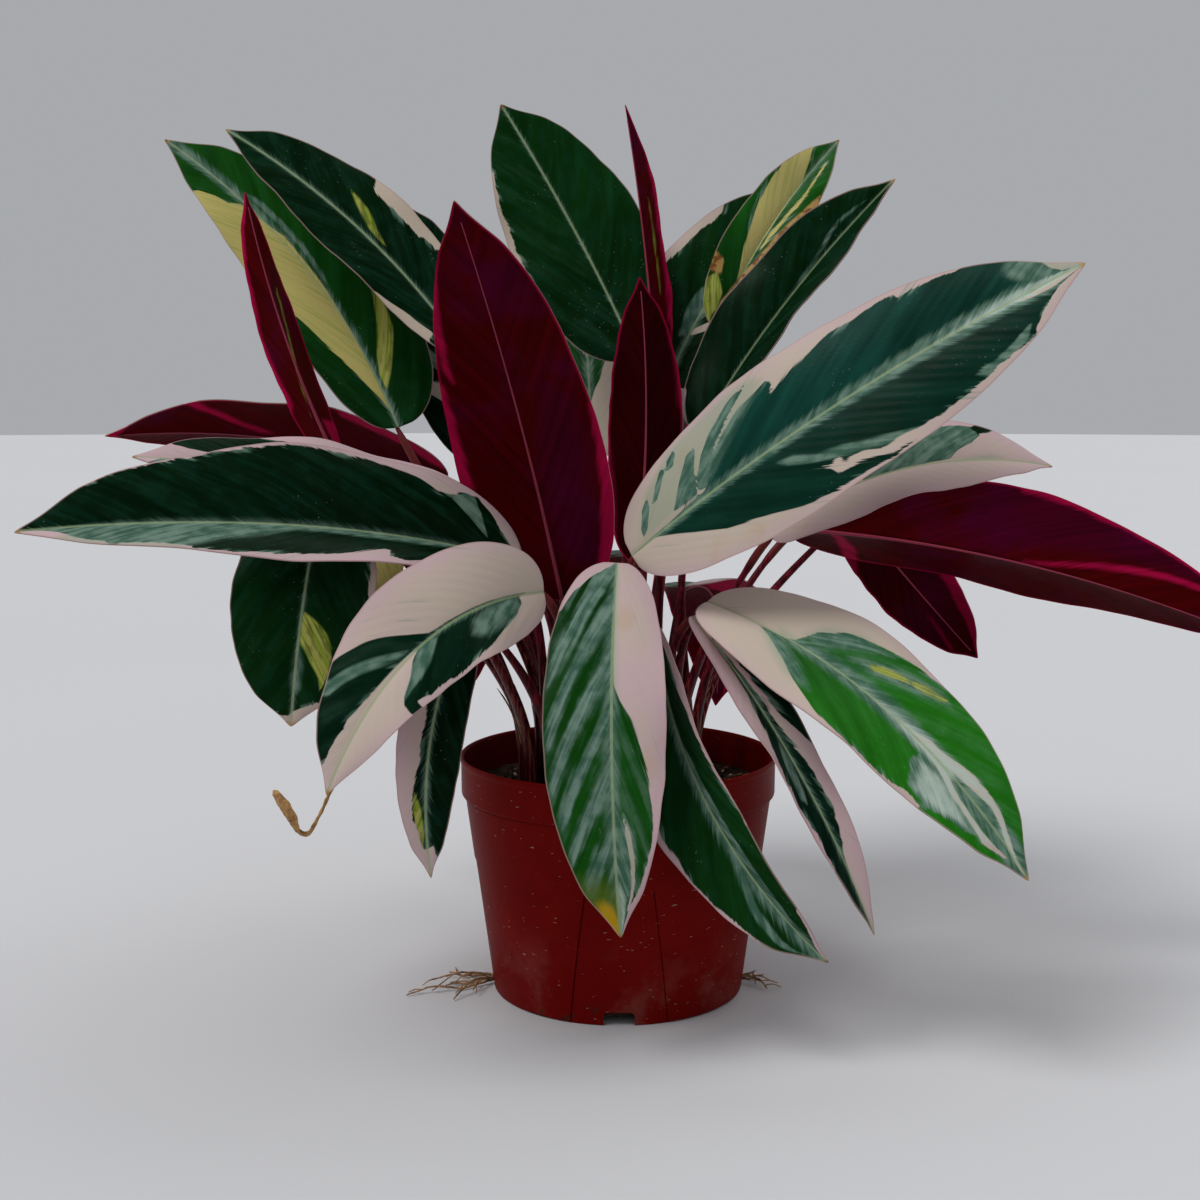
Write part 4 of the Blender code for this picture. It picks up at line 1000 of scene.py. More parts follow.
def lime_flame(paint, looks, cloud, body):
    """Yellow-green flames, striped and speckled."""
    speckle = paint.step(cloud, 0.40, 0.52) * 0.45 + 0.5
    stripes = paint.step(paint.streaks(0.7, 0.05, 110), 0.42, 0.58)
    lime = paint.mix(stripes * 0.7, looks.lime, looks.butter)
    return paint.mix(paint.patch("lime", 0.6, 0.5) * speckle, body, lime)


def pale_tint(paint, looks, blush, mist):
    """Cream to pink, or yellow on some blades, with threads, stains and sage flecks."""
    inwards = paint.step(paint.read("rim"), 0.0, 8.0)
    pinkness = blush + (paint.clouds(28.0) - 0.5) * 0.9 - inwards * 0.4 + 0.25
    tint = paint.mix(paint.step(pinkness, -0.1, 1.0), looks.cream, looks.pink)
    limy = paint.step(paint.streaks(0.35, 0.05, 110), 0.5, 0.66) * 0.4
    yellow = paint.mix(limy, looks.butter, looks.lime)
    tint = paint.mix(paint.step(0.0 - blush, 0.1, 0.8), tint, yellow)
    tint = paint.mix(paint.step(paint.threads, 0.0, 1.0) * 0.13, tint, looks.thread)
    stains = paint.step(paint.clouds(48.0, 2.0), 0.63, 0.76) * 0.3
    tint = paint.mix(stains, tint, looks.stain)
    flecks = paint.step(paint.streaks(0.4, 0.06, 80), 0.66, 0.76) * 0.4
    tint = paint.mix(flecks, tint, looks.sage)
    return paint.mix(mist * 0.7, tint, looks.mist)


def weathered(paint, looks, cloud, body):
    """Dry tips and patches, and grains of limescale."""
    dry_tip = 1.0 - paint.step(paint.read("tip") + (cloud - 0.5) * 6.0, 0.6, 2.6)
    dry = paint.largest(dry_tip * 0.8, paint.patch("dry", 0.7))
    crisp = paint.step(paint.clouds(260.0, 3.0), 0.45, 0.6)
    body = paint.mix(dry, body, paint.mix(crisp, looks.dry, looks.crisp))
    grains = 1.0 - paint.step(paint.cells(420.0), 0.05, 0.16)
    grains = grains * paint.step(paint.clouds(40.0), 0.52, 0.66)
    return paint.mix(grains * 0.25, body, looks.scale)


def upper_side(looks):
    """Green with sage, cream and pink, in streaks that follow the side veins."""
    paint = BladePaint("stromanthe_leaf_upper", Specular_IOR_Level=0.03)
    fresh_and_shade, blush, bands = paint.read_three("mood")
    cloud = paint.streaks(0.22, 0.12, 30) * 0.6 + paint.clouds(160.0, 3.0) * 0.4
    swell = paint.math("SINE", paint.vein * 0.27 + paint.streaks(0.05, 0.05, 40, 1.0) * 5.0)
    quills = (paint.streaks(0.9, 0.02, 60) - 0.5) * 6.0
    mist = paint.step(paint.read("mist") + quills * 0.5, -2.5, 2.5) * 0.85
    green = blade_green(paint, looks, fresh_and_shade, cloud, swell)
    sage = paint.mix(paint.step(cloud, 0.38, 0.62), looks.deep_sage, looks.sage)
    body = paint.mix(sage_cover(paint, bands, cloud, swell, quills, mist), green, sage)
    body = lime_flame(paint, looks, cloud, body)
    body = paint.mix(paint.patch("pale"), body, pale_tint(paint, looks, blush, mist))
    frost = paint.step(paint.read("frost") + quills * 1.2, -1.5, 2.5) * (cloud * 1.4 + 0.1)
    body = paint.mix(frost, body, looks.frost)
    gold = paint.read("gold")
    body = paint.mix(paint.step(gold, -15.0, -3.0) * 0.85, body, looks.fading)
    body = paint.mix(paint.step(gold, -3.0, 2.5) * 0.9, body, looks.gold)
    midrib_line = 1.0 - paint.step(paint.spread, 0.3, 0.9)
    body = paint.mix(midrib_line * 0.6, body, looks.midrib)
    margin = 1.0 - paint.step(paint.read("rim"), 0.2, 0.7)
    body = paint.mix(margin * 0.6, body, looks.margin)
    paint.finish("Base Color", weathered(paint, looks, cloud, body))
    paint.finish("Roughness", paint.clouds(90.0) * 0.2 + 0.24)
    relief = paint.clouds(700.0) * 0.5 + midrib_line * 1.5
    paint.bump(relief, 0.12 * MM, 0.5)
    return paint.material


def under_side(looks):
    """Wine red with purple, and magenta beneath the pale parts; painted shade darkens the undersides of blades
    set below 0.
    """
    paint = BladePaint("stromanthe_leaf_under", Specular_IOR_Level=0.015)
    fresh_and_shade = paint.read_three("mood")[0]
    cloud = paint.step(paint.clouds(24.0, 4.0, 0.6), 0.48, 0.68)
    body = paint.mix(cloud * 0.7, looks.wine, looks.purple)
    body = paint.mix(paint.patch("sage", 5.0) * 0.6, body, looks.purple)
    tone = paint.step(paint.streaks(0.2, 0.02, 20), 0.25, 0.75)
    body = paint.shade(body, tone * 0.4 + cloud * 0.2 + 0.65)
    body = paint.mix(paint.patch("pale", 1.6) * (tone * 0.3 + 0.7), body, looks.magenta)
    body = paint.mix(paint.patch("lime", 0.7, 0.5) * 0.7, body, looks.lime)
    # Painted shade: blades whose first mood value is below 0 get a darker underside, standing in for the shade
    # of the leaves around them.
    body = paint.shade(body, paint.math("MINIMUM", fresh_and_shade, 0.0) * 0.6 + 1.0)
    margin = 1.0 - paint.step(paint.read("rim"), 0.3, 1.4)
    body = paint.mix(margin * 0.6, body, looks.magenta)
    body = paint.mix(paint.step(paint.threads, 0.3, 1.0) * 0.1, body, looks.wine)
    body = paint.mix(paint.patch("dry", 0.7), body, looks.dry_under)
    paint.finish("Base Color", body)
    paint.finish("Roughness", paint.clouds(90.0) * 0.2 + 0.36)
    relief = paint.threads * 0.06 + paint.clouds(600.0) * 0.8
    paint.bump(relief, 0.14 * MM, 0.5)
    return paint.material


def stalk_skin(looks):
    """Wine red with straw-coloured fibres at the foot, paler at the joint and along the blade's ridge."""
    paint = Paint("stromanthe_stalk", Specular_IOR_Level=0.12)
    reach = paint.read("reach")
    fibres = paint.noise(paint.stretched(1.0, 1.0, 0.04), 900.0, 3.0)
    body = paint.mix(paint.step(fibres, 0.4, 0.7), looks.stalk, looks.stalk_fibre)
    husk = (1.0 - paint.step(reach, 0.08, 0.5)) * paint.step(fibres, 0.52, 0.62)
    body = paint.mix(husk * 0.75, body, looks.husk)
    joint = paint.step(reach, 0.84, 0.9)
    body = paint.mix(joint * 0.8, body, looks.joint)
    body = paint.mix(paint.step(reach, 1.0, 1.06) * 0.85, body, looks.ridge)
    paint.finish("Base Color", body)
    paint.finish("Roughness", fibres * 0.3 + 0.3)
    paint.bump(fibres, 0.3 * MM, 0.6)
    return paint.material


def withered_skin(looks):
    """Papery brown of the dead leaf end."""
    paint = Paint("stromanthe_withered", Specular_IOR_Level=0.25)
    blotch = paint.clouds(420.0, 4.0, 0.6)
    body = paint.mix(paint.step(blotch, 0.4, 0.7), looks.withered, looks.blotch)
    creases = paint.noise(paint.stretched(1.0, 1.0, 0.12), 1500.0)
    body = paint.mix(paint.step(creases, 0.55, 0.7) * 0.5, body, looks.crease)
    paint.finish("Base Color", body)
    paint.finish("Roughness", blotch * 0.3 + 0.5)
    paint.bump(creases + blotch, 0.3 * MM)
    return paint.material


def red_plastic(looks):
    """Satin plastic with moulding haze, a painted highlight along the top of the rim, fine scuffs and pale dust
    towards the foot.
    """
    paint = Paint("pot_red_plastic", Specular_IOR_Level=0.03)
    height = paint.node("ShaderNodeSeparateXYZ", {0: paint.place()}, out=2)
    haze = paint.clouds(22.0, 3.0, 0.6)
    body = paint.mix(paint.step(haze, 0.4, 0.75) * 0.5, looks.plastic, looks.worn_and_highlight)
    low = 1.0 - paint.step(height, 4 * MM, 45 * MM)
    smudge = paint.step(paint.clouds(34.0, 4.0, 0.65), 0.48, 0.7) * low
    body = paint.mix(smudge * 0.08, body, looks.dust)
    scuffs = paint.step(paint.noise(paint.stretched(1.0, 1.0, 3.5), 260.0, 2.0), 0.7, 0.76)
    specks = 1.0 - paint.step(paint.cells(330.0), 0.04, 0.13)
    specks = specks * paint.step(paint.clouds(45.0), 0.6, 0.72)
    marks = paint.largest(scuffs * 0.4, specks * 0.5)
    body = paint.mix(marks, body, looks.dust)
    # Painted highlight: a lighter line along the top of the rim.
    lip_highlight = paint.step(height, POT_HEIGHT - 0.8 * MM, POT_HEIGHT - 0.2 * MM)
    body = paint.mix(lip_highlight * 0.6, body, looks.worn_and_highlight)
    lowest = 1.0 - paint.step(height, 0.0, 12 * MM)
    earth = paint.step(paint.clouds(150.0, 3.0), 0.6, 0.68) * lowest
    body = paint.mix(earth * 0.8, body, looks.earth)
    paint.finish("Base Color", body)
    paint.finish("Roughness", haze * 0.2 + smudge * 0.25 + marks * 0.2 + 0.32)
    grain = paint.clouds(1400.0) * 0.5 + paint.clouds(60.0) * 1.5
    paint.bump(grain, 0.12 * MM, 0.5)
    return paint.material


def peat(looks):
    """Crumbly dark soil."""
    paint = Paint("soil_peat", Specular_IOR_Level=0.2, Roughness=0.95)
    crumbs = paint.clouds(480.0, 5.0, 0.65)
    body = paint.mix(paint.step(crumbs, 0.45, 0.75), looks.peat, looks.bark)
    clods = paint.step(paint.clouds(90.0, 3.0), 0.35, 0.65)
    paint.finish("Base Color", paint.shade(body, clods * 0.7 + 0.5))
    paint.bump(crumbs, 1.2 * MM)
    return paint.material


def bark_chips(looks):
    """Chips of peat and bark, some reddish and some nearly black."""
    paint = Paint("soil_bark_chips", Specular_IOR_Level=0.25, Roughness=0.85)
    tint = paint.clouds(130.0, 1.0)
    body = paint.mix(paint.step(tint, 0.4, 0.66), looks.peat, looks.bark)
    grain = paint.clouds(1500.0, 3.0)
    paint.finish("Base Color", paint.shade(body, grain * 1.2 + 0.4))
    paint.bump(grain, 0.3 * MM)
    return paint.material


def perlite_grains(looks):
    """White, pitted perlite with soil stain."""
    paint = Paint("soil_perlite", Specular_IOR_Level=0.25, Roughness=0.8)
    stain = paint.clouds(700.0, 3.0)
    paint.finish("Base Color", paint.mix(paint.step(stain, 0.45, 0.7), looks.grain, looks.grain_stain))
    paint.bump(stain, 0.4 * MM)
    return paint.material


def dry_straw(name, looks):
    """Dry fibre, mottled along its length."""
    paint = Paint(name, Specular_IOR_Level=0.25, Roughness=0.8)
    mottle = paint.clouds(240.0, 4.0, 0.6)
    body = paint.mix(paint.step(mottle, 0.35, 0.7), looks.straw, looks.straw_mottle)
    paint.finish("Base Color", body)
    paint.bump(paint.clouds(1800.0, 2.0), 0.2 * MM)
    return paint.material


def pale_floor(looks):
    """Matt floor with hardly any variation."""
    paint = Paint("stage_floor", Roughness=0.7, Specular_IOR_Level=0.2)
    cloud = paint.clouds(1.5, 2.0)
    paint.finish("Base Color", paint.shade(tuple(looks.floor), cloud * 0.04 + 0.98))
    return paint.material


# Making meshes and pieces


def add_object(name, mesh):
    """Adds an object that shows a mesh, curve, light or camera to the scene."""
    made = bpy.data.objects.new(name, mesh)
    bpy.context.scene.collection.objects.link(made)
    return made


def mesh_from(bm, name):
    """A mesh of a bmesh, which is freed."""
    mesh = bpy.data.meshes.new(name)
    bm.to_mesh(mesh)
    bm.free()
    return mesh


def bmesh_from(mesh):
    """A bmesh of a mesh, which is removed."""
    bm = bmesh.new()
    bm.from_mesh(mesh)
    bpy.data.meshes.remove(mesh)
    return bm


def baked(source, name):
    """The mesh of an object as its modifiers leave it. The object is removed."""
    bpy.context.view_layer.update()
    graph = bpy.context.evaluated_depsgraph_get()
    mesh = bpy.data.meshes.new_from_object(source.evaluated_get(graph))
    mesh.name = name
    bpy.data.objects.remove(source)
    return mesh


def thickened(sheet, thickness, material_offset=0):
    """The mesh of a sheet given its thickness, its underside this many materials further down the list."""
    shell = sheet.modifiers.new("thickness", "SOLIDIFY")
    shell.thickness = thickness
    shell.offset = 0
    shell.material_offset = material_offset
    return baked(sheet, sheet.name)


def add_piece(name, bm, materials, nodes, sharp=50):
    """Adds a finished piece to the body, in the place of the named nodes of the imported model."""
    mesh = mesh_from(bm, name)
    for finish in materials:
        mesh.materials.append(finish)
    mesh.shade_smooth()
    mesh.set_sharp_from_angle(angle=math.radians(sharp))
    piece = add_object(name, mesh)
    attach(piece, "root")
    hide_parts(*nodes)


def add_tube(bm, points, radii, resolution, material_index=0):
    """Adds a closed tube along the points to a bmesh, and gives the new vertices."""
    data = bpy.data.curves.new("tube", "CURVE")
    data.dimensions = "3D"
    data.bevel_depth = 1
    data.bevel_resolution = resolution
    data.use_fill_caps = True
    spline = data.splines.new("POLY")
    spline.points.add(len(points) - 1)
    for target, place, radius in zip(spline.points, points, radii):
        target.co = (*place, 1)
        target.radius = radius
    mesh = baked(add_object("tube", data), "tube")
    before = len(bm.verts)
    faces_before = len(bm.faces)
    bm.from_mesh(mesh)
    bm.verts.ensure_lookup_table()
    bm.faces.ensure_lookup_table()
    made = bm.verts[before:]
    for face in bm.faces[faces_before:]:
        face.material_index = material_index
    bmesh.ops.remove_doubles(bm, verts=made, dist=0.000001)
    bpy.data.meshes.remove(mesh)
    bpy.data.curves.remove(data)
    bm.verts.ensure_lookup_table()
    return bm.verts[before:]


def smooth_line(points, per_span):
    """Points on a smooth curve through the given ones."""
    ends = [points[0] * 2 - points[1], *points, points[-1] * 2 - points[-2]]
    line = []
    for a, b, c, d in zip(ends, ends[1:], ends[2:], ends[3:]):
        for step in range(per_span):
            t = step / per_span
            square = (a * 2 - b * 5 + c * 4 - d) * t**2
            cube = (b * 3 - a - c * 3 + d) * t**3
            line.append((b * 2 + (c - a) * t + square + cube) / 2)
    return [*line, points[-1]]


# Leaves


def stalk_line(leaf):
    """Places, radii and reach of the stalk, and of the ridge under the blade that it runs on into.

    The reach is 0 at the foot, 1 at the neck and 2 at the tip.
    """
    ground = Vector((*leaf.root, 0)) * MM
    start = ground + Vector((0, 0, SOIL_TOP + STALK_FREE_START))
    neck, tangent = midrib(leaf, 0)
    outward = Vector((leaf.neck[0], leaf.neck[1], 0)).normalized()
    arrival = (Vector((0, 0, 1)) + (outward + tangent) * STALK_LEAN).normalized()
    reach = (neck - start).length * STALK_REACH
    rise = start + Vector((0, 0, reach))
    lean = neck - arrival * reach
    line = [(ground + Vector((0, 0, SOIL_TOP - HOLE_DEPTH + GAP)), STALK_ROOT_RADIUS, 0)]
    under = cross_section(leaf, 0)[2]
    for step in range(STALK_STEPS):
        t = step / STALK_STEPS
        here = start * (1 - t) ** 3 + rise * 3 * t * (1 - t) ** 2 + lean * 3 * t**2 * (1 - t) + neck * t**3
        radius = STALK_ROOT_RADIUS + (STALK_THIN_RADIUS - STALK_ROOT_RADIUS) * min(1, t / STALK_JOINT_FROM)
        swell = min(1, max(0, (t - STALK_JOINT_FROM + STALK_JOINT_BLEND) / STALK_JOINT_BLEND))
        radius += (STALK_JOINT_RADIUS - radius) * swell
        sink = max(0, (t - STALK_SINK_FROM) / STALK_SINK_SPAN) ** 2
        line.append((here - under * (STALK_SINK * sink), radius - STALK_SLIMMING * sink, t))
    for step in range(RIDGE_STEPS + 1):
        along = RIDGE_END * step / RIDGE_STEPS
        point, _, normal, _ = cross_section(leaf, along)
        radius = RIDGE_RADIUS + RIDGE_SWELL * (1 - along) ** 2
        line.append((point - normal * (radius + GROOVE_DEPTH * (1 - along)), radius, 1 + along))
    return line


def blade_mesh(leaf, looks, materials):
    """A thin blade: a grid that is drawn out along the midrib, given its thickness and painted."""
    bm = bmesh.new()
    along_layer = bm.verts.layers.float.new("along")
    side_layer = bm.verts.layers.float.new("side")
    rows = round(blade_length(leaf) * MM / looks.face_size)
    columns = round(leaf.width * MM / looks.face_size)
    bmesh.ops.create_grid(bm, x_segments=rows, y_segments=columns, size=1)
    for vert in bm.verts:
        even = (vert.co.x + 1) / 2
        along = round((even + (1 - math.cos(math.pi * even)) / 2) / 2, 6)
        across = vert.co.y
        vert[along_layer] = along
        vert[side_layer] = across
        vert.co = blade_point(leaf, along, across, looks)
    bmesh.ops.remove_doubles(bm, verts=bm.verts, dist=0.00002)
    bmesh.ops.reverse_faces(bm, faces=bm.faces)
    sheet = add_object("blade", mesh_from(bm, "blade"))
    for finish in materials:
        sheet.data.materials.append(finish)
    mesh = thickened(sheet, looks.thickness, material_offset=1)
    paint_blade(leaf, mesh)
    return mesh


def add_husks(bm, line, chance):
    """Dry fibres that peel off the foot of a stalk."""
    free = [row for row in line if 0 < row[2] < 0.5]
    for _ in range(HUSKS):
        first = chance.randrange(0, 3)
        count = chance.randint(4, 9)
        angle = chance.uniform(0, math.tau)
        out = Vector((math.cos(angle), math.sin(angle), 0))
        peel = chance.uniform(*HUSK_PEEL) * MM
        points = []
        for step, (place, radius, _) in enumerate(free[first:first + count]):
            points.append(place + out * (radius + HUSK_GAP + peel * (step / count) ** 3))
        radius = chance.uniform(*HUSK_RADIUS) * MM
        add_tube(bm, points, [radius] * (len(points) - 1) + [radius * HUSK_END], 0, material_index=3)


def make_leaf(leaf, looks, materials):
    """One blade and its stalk, as one piece."""
    bm = bmesh_from(blade_mesh(leaf, looks, materials))
    reach_layer = bm.verts.layers.float.new("reach")
    line = stalk_line(leaf)
    nearest = KDTree(len(line))
    for index, (place, _, _) in enumerate(line):
        nearest.insert(place, index)
    nearest.balance()
    stalk = add_tube(bm, [row[0] for row in line], [row[1] for row in line], 4, material_index=2)
    across = Vector((-leaf.root[1], leaf.root[0], 0)).normalized()
    for vert in stalk:
        place, _, reach = line[nearest.find(vert.co)[1]]
        vert[reach_layer] = reach
        spread = SHEATH_SPREAD * max(0, 1 - reach / SHEATH_REACH)
        vert.co += across * (vert.co - place).dot(across) * spread
    add_husks(bm, line, random.Random(leaf.name))
    name = leaf.name.removeprefix("leaf_") + "_leaf"
    add_piece(name, bm, materials, [leaf.name])


def make_withered_end(looks):
    """The dry curled strip that hangs from the tip of the low leaf on the left."""
    centres = smooth_line([Vector(row[:3]) * MM for row in WITHERED_ROWS], WITHERED_STEPS)
    shapes = smooth_line([Vector((row[3], row[4], 0)) for row in WITHERED_ROWS], WITHERED_STEPS)
    last = len(centres) - 1
    bm = bmesh.new()
    bmesh.ops.create_grid(bm, x_segments=last, y_segments=WITHERED_COLUMNS, size=1)
    for vert in bm.verts:
        index = round((vert.co.x + 1) / 2 * last)
        tangent = (centres[min(index + 1, last)] - centres[max(index - 1, 0)]).normalized()
        deep = (Vector((0, 1, 0)) - tangent * tangent.y).normalized()
        level = tangent.cross(deep)
        width, twist = shapes[index].x * MM, math.radians(shapes[index].y)
        if index == last:
            width *= WITHERED_TIP
        across = deep * math.cos(twist) + level * math.sin(twist)
        side = vert.co.y
        crumple = noise.noise(Vector((index * 0.45, side * 1.5, 3))) * WITHERED_CRUMPLE
        hollow = tangent.cross(across) * (width * WITHERED_HOLLOW * (1 - side * side) + crumple)
        vert.co = centres[index] + across * (side * width / 2) + hollow
    strip = add_object("withered_strip", mesh_from(bm, "withered_strip"))
    bm = bmesh_from(thickened(strip, WITHERED_THICKNESS))
    bmesh.ops.recalc_face_normals(bm, faces=bm.faces)
    add_piece("withered_leaf_end", bm, [withered_skin(looks)], ["leaf_left_low"])


# Pot


def body_radius(height):
    """Outer radius of the pot's tapered body at this height."""
    top = RIM_RADIUS - RIM_STEP - 0.6 * MM
    return FOOT_RADIUS + (top - FOOT_RADIUS) * height / (POT_HEIGHT - RIM_DEPTH)


def pot_profile():
    """Section of the pot from the axis on its inner floor, over the rim, to the axis under the floor."""
    rim_bottom = POT_HEIGHT - RIM_DEPTH
    return (
        (0, FLOOR_TOP),
        (body_radius(FLOOR_TOP) - WALL - CORNER, FLOOR_TOP),
        (body_radius(FLOOR_TOP + CORNER) - WALL, FLOOR_TOP + CORNER),
        (body_radius(rim_bottom) - WALL, rim_bottom),
        (RIM_RADIUS - 1.8 * MM, POT_HEIGHT - 1 * MM),
        (RIM_RADIUS - 1.2 * MM, POT_HEIGHT),
        (RIM_RADIUS - 0.4 * MM, POT_HEIGHT),
        (RIM_RADIUS, POT_HEIGHT - 0.8 * MM),
        (RIM_RADIUS - 0.15 * MM, POT_HEIGHT - 2.2 * MM),
        (RIM_RADIUS - 0.5 * MM, POT_HEIGHT - 3.0 * MM),
        (RIM_RADIUS - 0.6 * MM, rim_bottom + 0.6 * MM),
        (RIM_RADIUS - 1.0 * MM, rim_bottom),
        (body_radius(rim_bottom) - 0.5 * MM, rim_bottom + 0.4 * MM),
        (body_radius(rim_bottom - 1.5 * MM), rim_bottom - 1.5 * MM),
        (body_radius(PANEL_TOP), PANEL_TOP),
        (body_radius(1 * MM), 1 * MM),
        (FOOT_RADIUS - 0.8 * MM, 0),
        (FOOT_RADIUS - FOOT_WIDTH, 0),
        (FOOT_RADIUS - FOOT_WIDTH - 1 * MM, FLOOR_RAISE),
        (CENTRE_PAD_RADIUS + 1 * MM, FLOOR_RAISE),
        (CENTRE_PAD_RADIUS, 0),
        (0, 0),
    )


def turned(profile, sides, rounding):
    """A bmesh of a profile of radius and height, its corners rounded, spun once round Z."""
    bm = bmesh.new()
    line = [bm.verts.new((radius, 0, height)) for radius, height in profile]
    for first, second in zip(line, line[1:]):
        bm.edges.new((first, second))
    if rounding:
        bmesh.ops.bevel(bm, geom=line[1:-1], offset=rounding, offset_type="OFFSET", affect="VERTICES",
                        segments=3, profile=0.5, material=-1, clamp_overlap=True)
    section = [*bm.verts, *bm.edges]
    bmesh.ops.spin(bm, geom=section, cent=(0, 0, 0), axis=(0, 0, 1), angle=2 * math.pi, steps=sides,
                   use_merge=True)
    bmesh.ops.remove_doubles(bm, verts=bm.verts, dist=0.00001)
    bmesh.ops.recalc_face_normals(bm, faces=bm.faces)
    return bm


def side_plate(angle, edges, depth):
    """A curved block that sinks into the pot's side: edges gives its two edge angles at a height."""
    bm = bmesh.new()
    bmesh.ops.create_cube(bm, size=2)
    bmesh.ops.subdivide_edges(bm, edges=bm.edges, cuts=PANEL_CUTTER_CUTS, use_grid_fill=True)
    for vert in bm.verts:
        rise = (vert.co.z + 1) / 2
        height = (PANEL_TOP + 1 * MM) * rise - 1 * MM
        low, high = edges(rise)
        turn = math.radians(angle + low + (high - low) * (vert.co.x + 1) / 2)
        radius = body_radius(height) - depth + (PANEL_CUTTER_THICKNESS if vert.co.y > 0 else 0)
        vert.co = (radius * math.cos(turn), radius * math.sin(turn), height)
    bmesh.ops.remove_doubles(bm, verts=bm.verts, dist=0.000001)
    bmesh.ops.recalc_face_normals(bm, faces=bm.faces)
    return bm


def panel_half(rise):
    """Angle from the middle of a panel to its seam, at a share of the panel's height."""
    return PANEL_FOOT_ANGLE + (PANEL_TOP_ANGLE - PANEL_FOOT_ANGLE) * rise


def panel_edges(rise):
    """Both edges of a panel, as angles from its middle."""
    return -panel_half(rise), panel_half(rise)


def left_seam(rise):
    """Both edges of the groove on the clockwise side of a panel, seen from above."""
    return -panel_half(rise), -(panel_half(rise) - SEAM_ANGLE)


def right_seam(rise):
    """Both edges of the groove on its other side."""
    return panel_half(rise) - SEAM_ANGLE, panel_half(rise)


def drain_block(angle):
    """A block with rounded edges that opens one drain slot."""
    bm = bmesh.new()
    bmesh.ops.create_cube(bm, size=1)
    bmesh.ops.scale(bm, verts=bm.verts, vec=(DRAIN_LENGTH, DRAIN_WIDTH, 2 * DRAIN_HEIGHT))
    long_edges = [edge for edge in bm.edges if abs(edge.verts[0].co.x - edge.verts[1].co.x) > 1 * MM]
    bmesh.ops.bevel(bm, geom=long_edges, offset=DRAIN_CORNER, offset_type="OFFSET", affect="EDGES",
                    segments=5, profile=0.5, material=-1)
    bmesh.ops.translate(bm, verts=bm.verts, vec=(FOOT_RADIUS, 0, 0))
    turn = Matrix.Rotation(math.radians(angle), 3, "Z")
    bmesh.ops.rotate(bm, verts=bm.verts, cent=(0, 0, 0), matrix=turn)
    return bm


def make_pot(looks):
    """The pot, with sunk panels between grooves, and drain slots."""
    pot = add_object("pot_blank", mesh_from(turned(pot_profile(), looks.sides, looks.rounding), "pot_blank"))
    tools = []
    for quarter in range(PANEL_COUNT):
        angle = quarter * 360 / PANEL_COUNT
        tools.append(side_plate(angle, panel_edges, PANEL_DEPTH))
        tools.append(side_plate(angle, left_seam, looks.seam_depth))
        tools.append(side_plate(angle, right_seam, looks.seam_depth))
        tools.append(drain_block(angle))
    cutters = [add_object("pot_tool", mesh_from(bm, "pot_tool")) for bm in tools]
    for cutter in cutters:
        cut = pot.modifiers.new("cut", "BOOLEAN")
        cut.operation = "DIFFERENCE"
        cut.solver = "MANIFOLD"
        cut.object = cutter
    bm = bmesh_from(baked(pot, "pot_shape"))
    for cutter in cutters:
        bpy.data.objects.remove(cutter)
    add_piece("red_plastic_pot", bm, [red_plastic(looks)], ["pot"], sharp=35)


# Soil and roots


def soil_height(x, y):
    """Height of the soil's top at a place."""
    lump = noise.noise(Vector((x, y, SOIL_TOP)) * SOIL_LUMPS_PER_METRE) * SOIL_ROUGHNESS
    edge = math.hypot(x, y) / body_radius(SOIL_TOP)
    crumb = noise.fractal(Vector((x, y, 0)) * CRUMBS_PER_METRE, 1.0, 2.0, 3) * CRUMB_HEIGHT
    return SOIL_TOP + lump + crumb - SOIL_EDGE_DROP * edge**4


def add_lump(bm, place, size, chance, material_index):
    """One rough grain with few faces."""
    made = bmesh.ops.create_icosphere(bm, subdivisions=1, radius=1)
    turn = Matrix.Rotation(chance.uniform(0, math.tau), 3, Vector([chance.gauss(0, 1) for _ in range(3)]))
    squeeze = Vector((1, chance.uniform(0.5, 0.9), chance.uniform(0.25, 0.7))) * size
    for vert in made["verts"]:
        rough = vert.co * chance.uniform(0.75, 1.2)
        vert.co = place + turn @ Vector(a * b for a, b in zip(rough, squeeze))
    for face in {face for vert in made["verts"] for face in vert.link_faces}:
        face.material_index = material_index


def scattered(chance, reach=CHIP_REACH):
    """A chance place on the soil."""
    angle, radius = chance.uniform(0, math.tau), reach * math.sqrt(chance.random())
    x, y = radius * math.cos(angle), radius * math.sin(angle)
    return Vector((x, y, soil_height(x, y)))


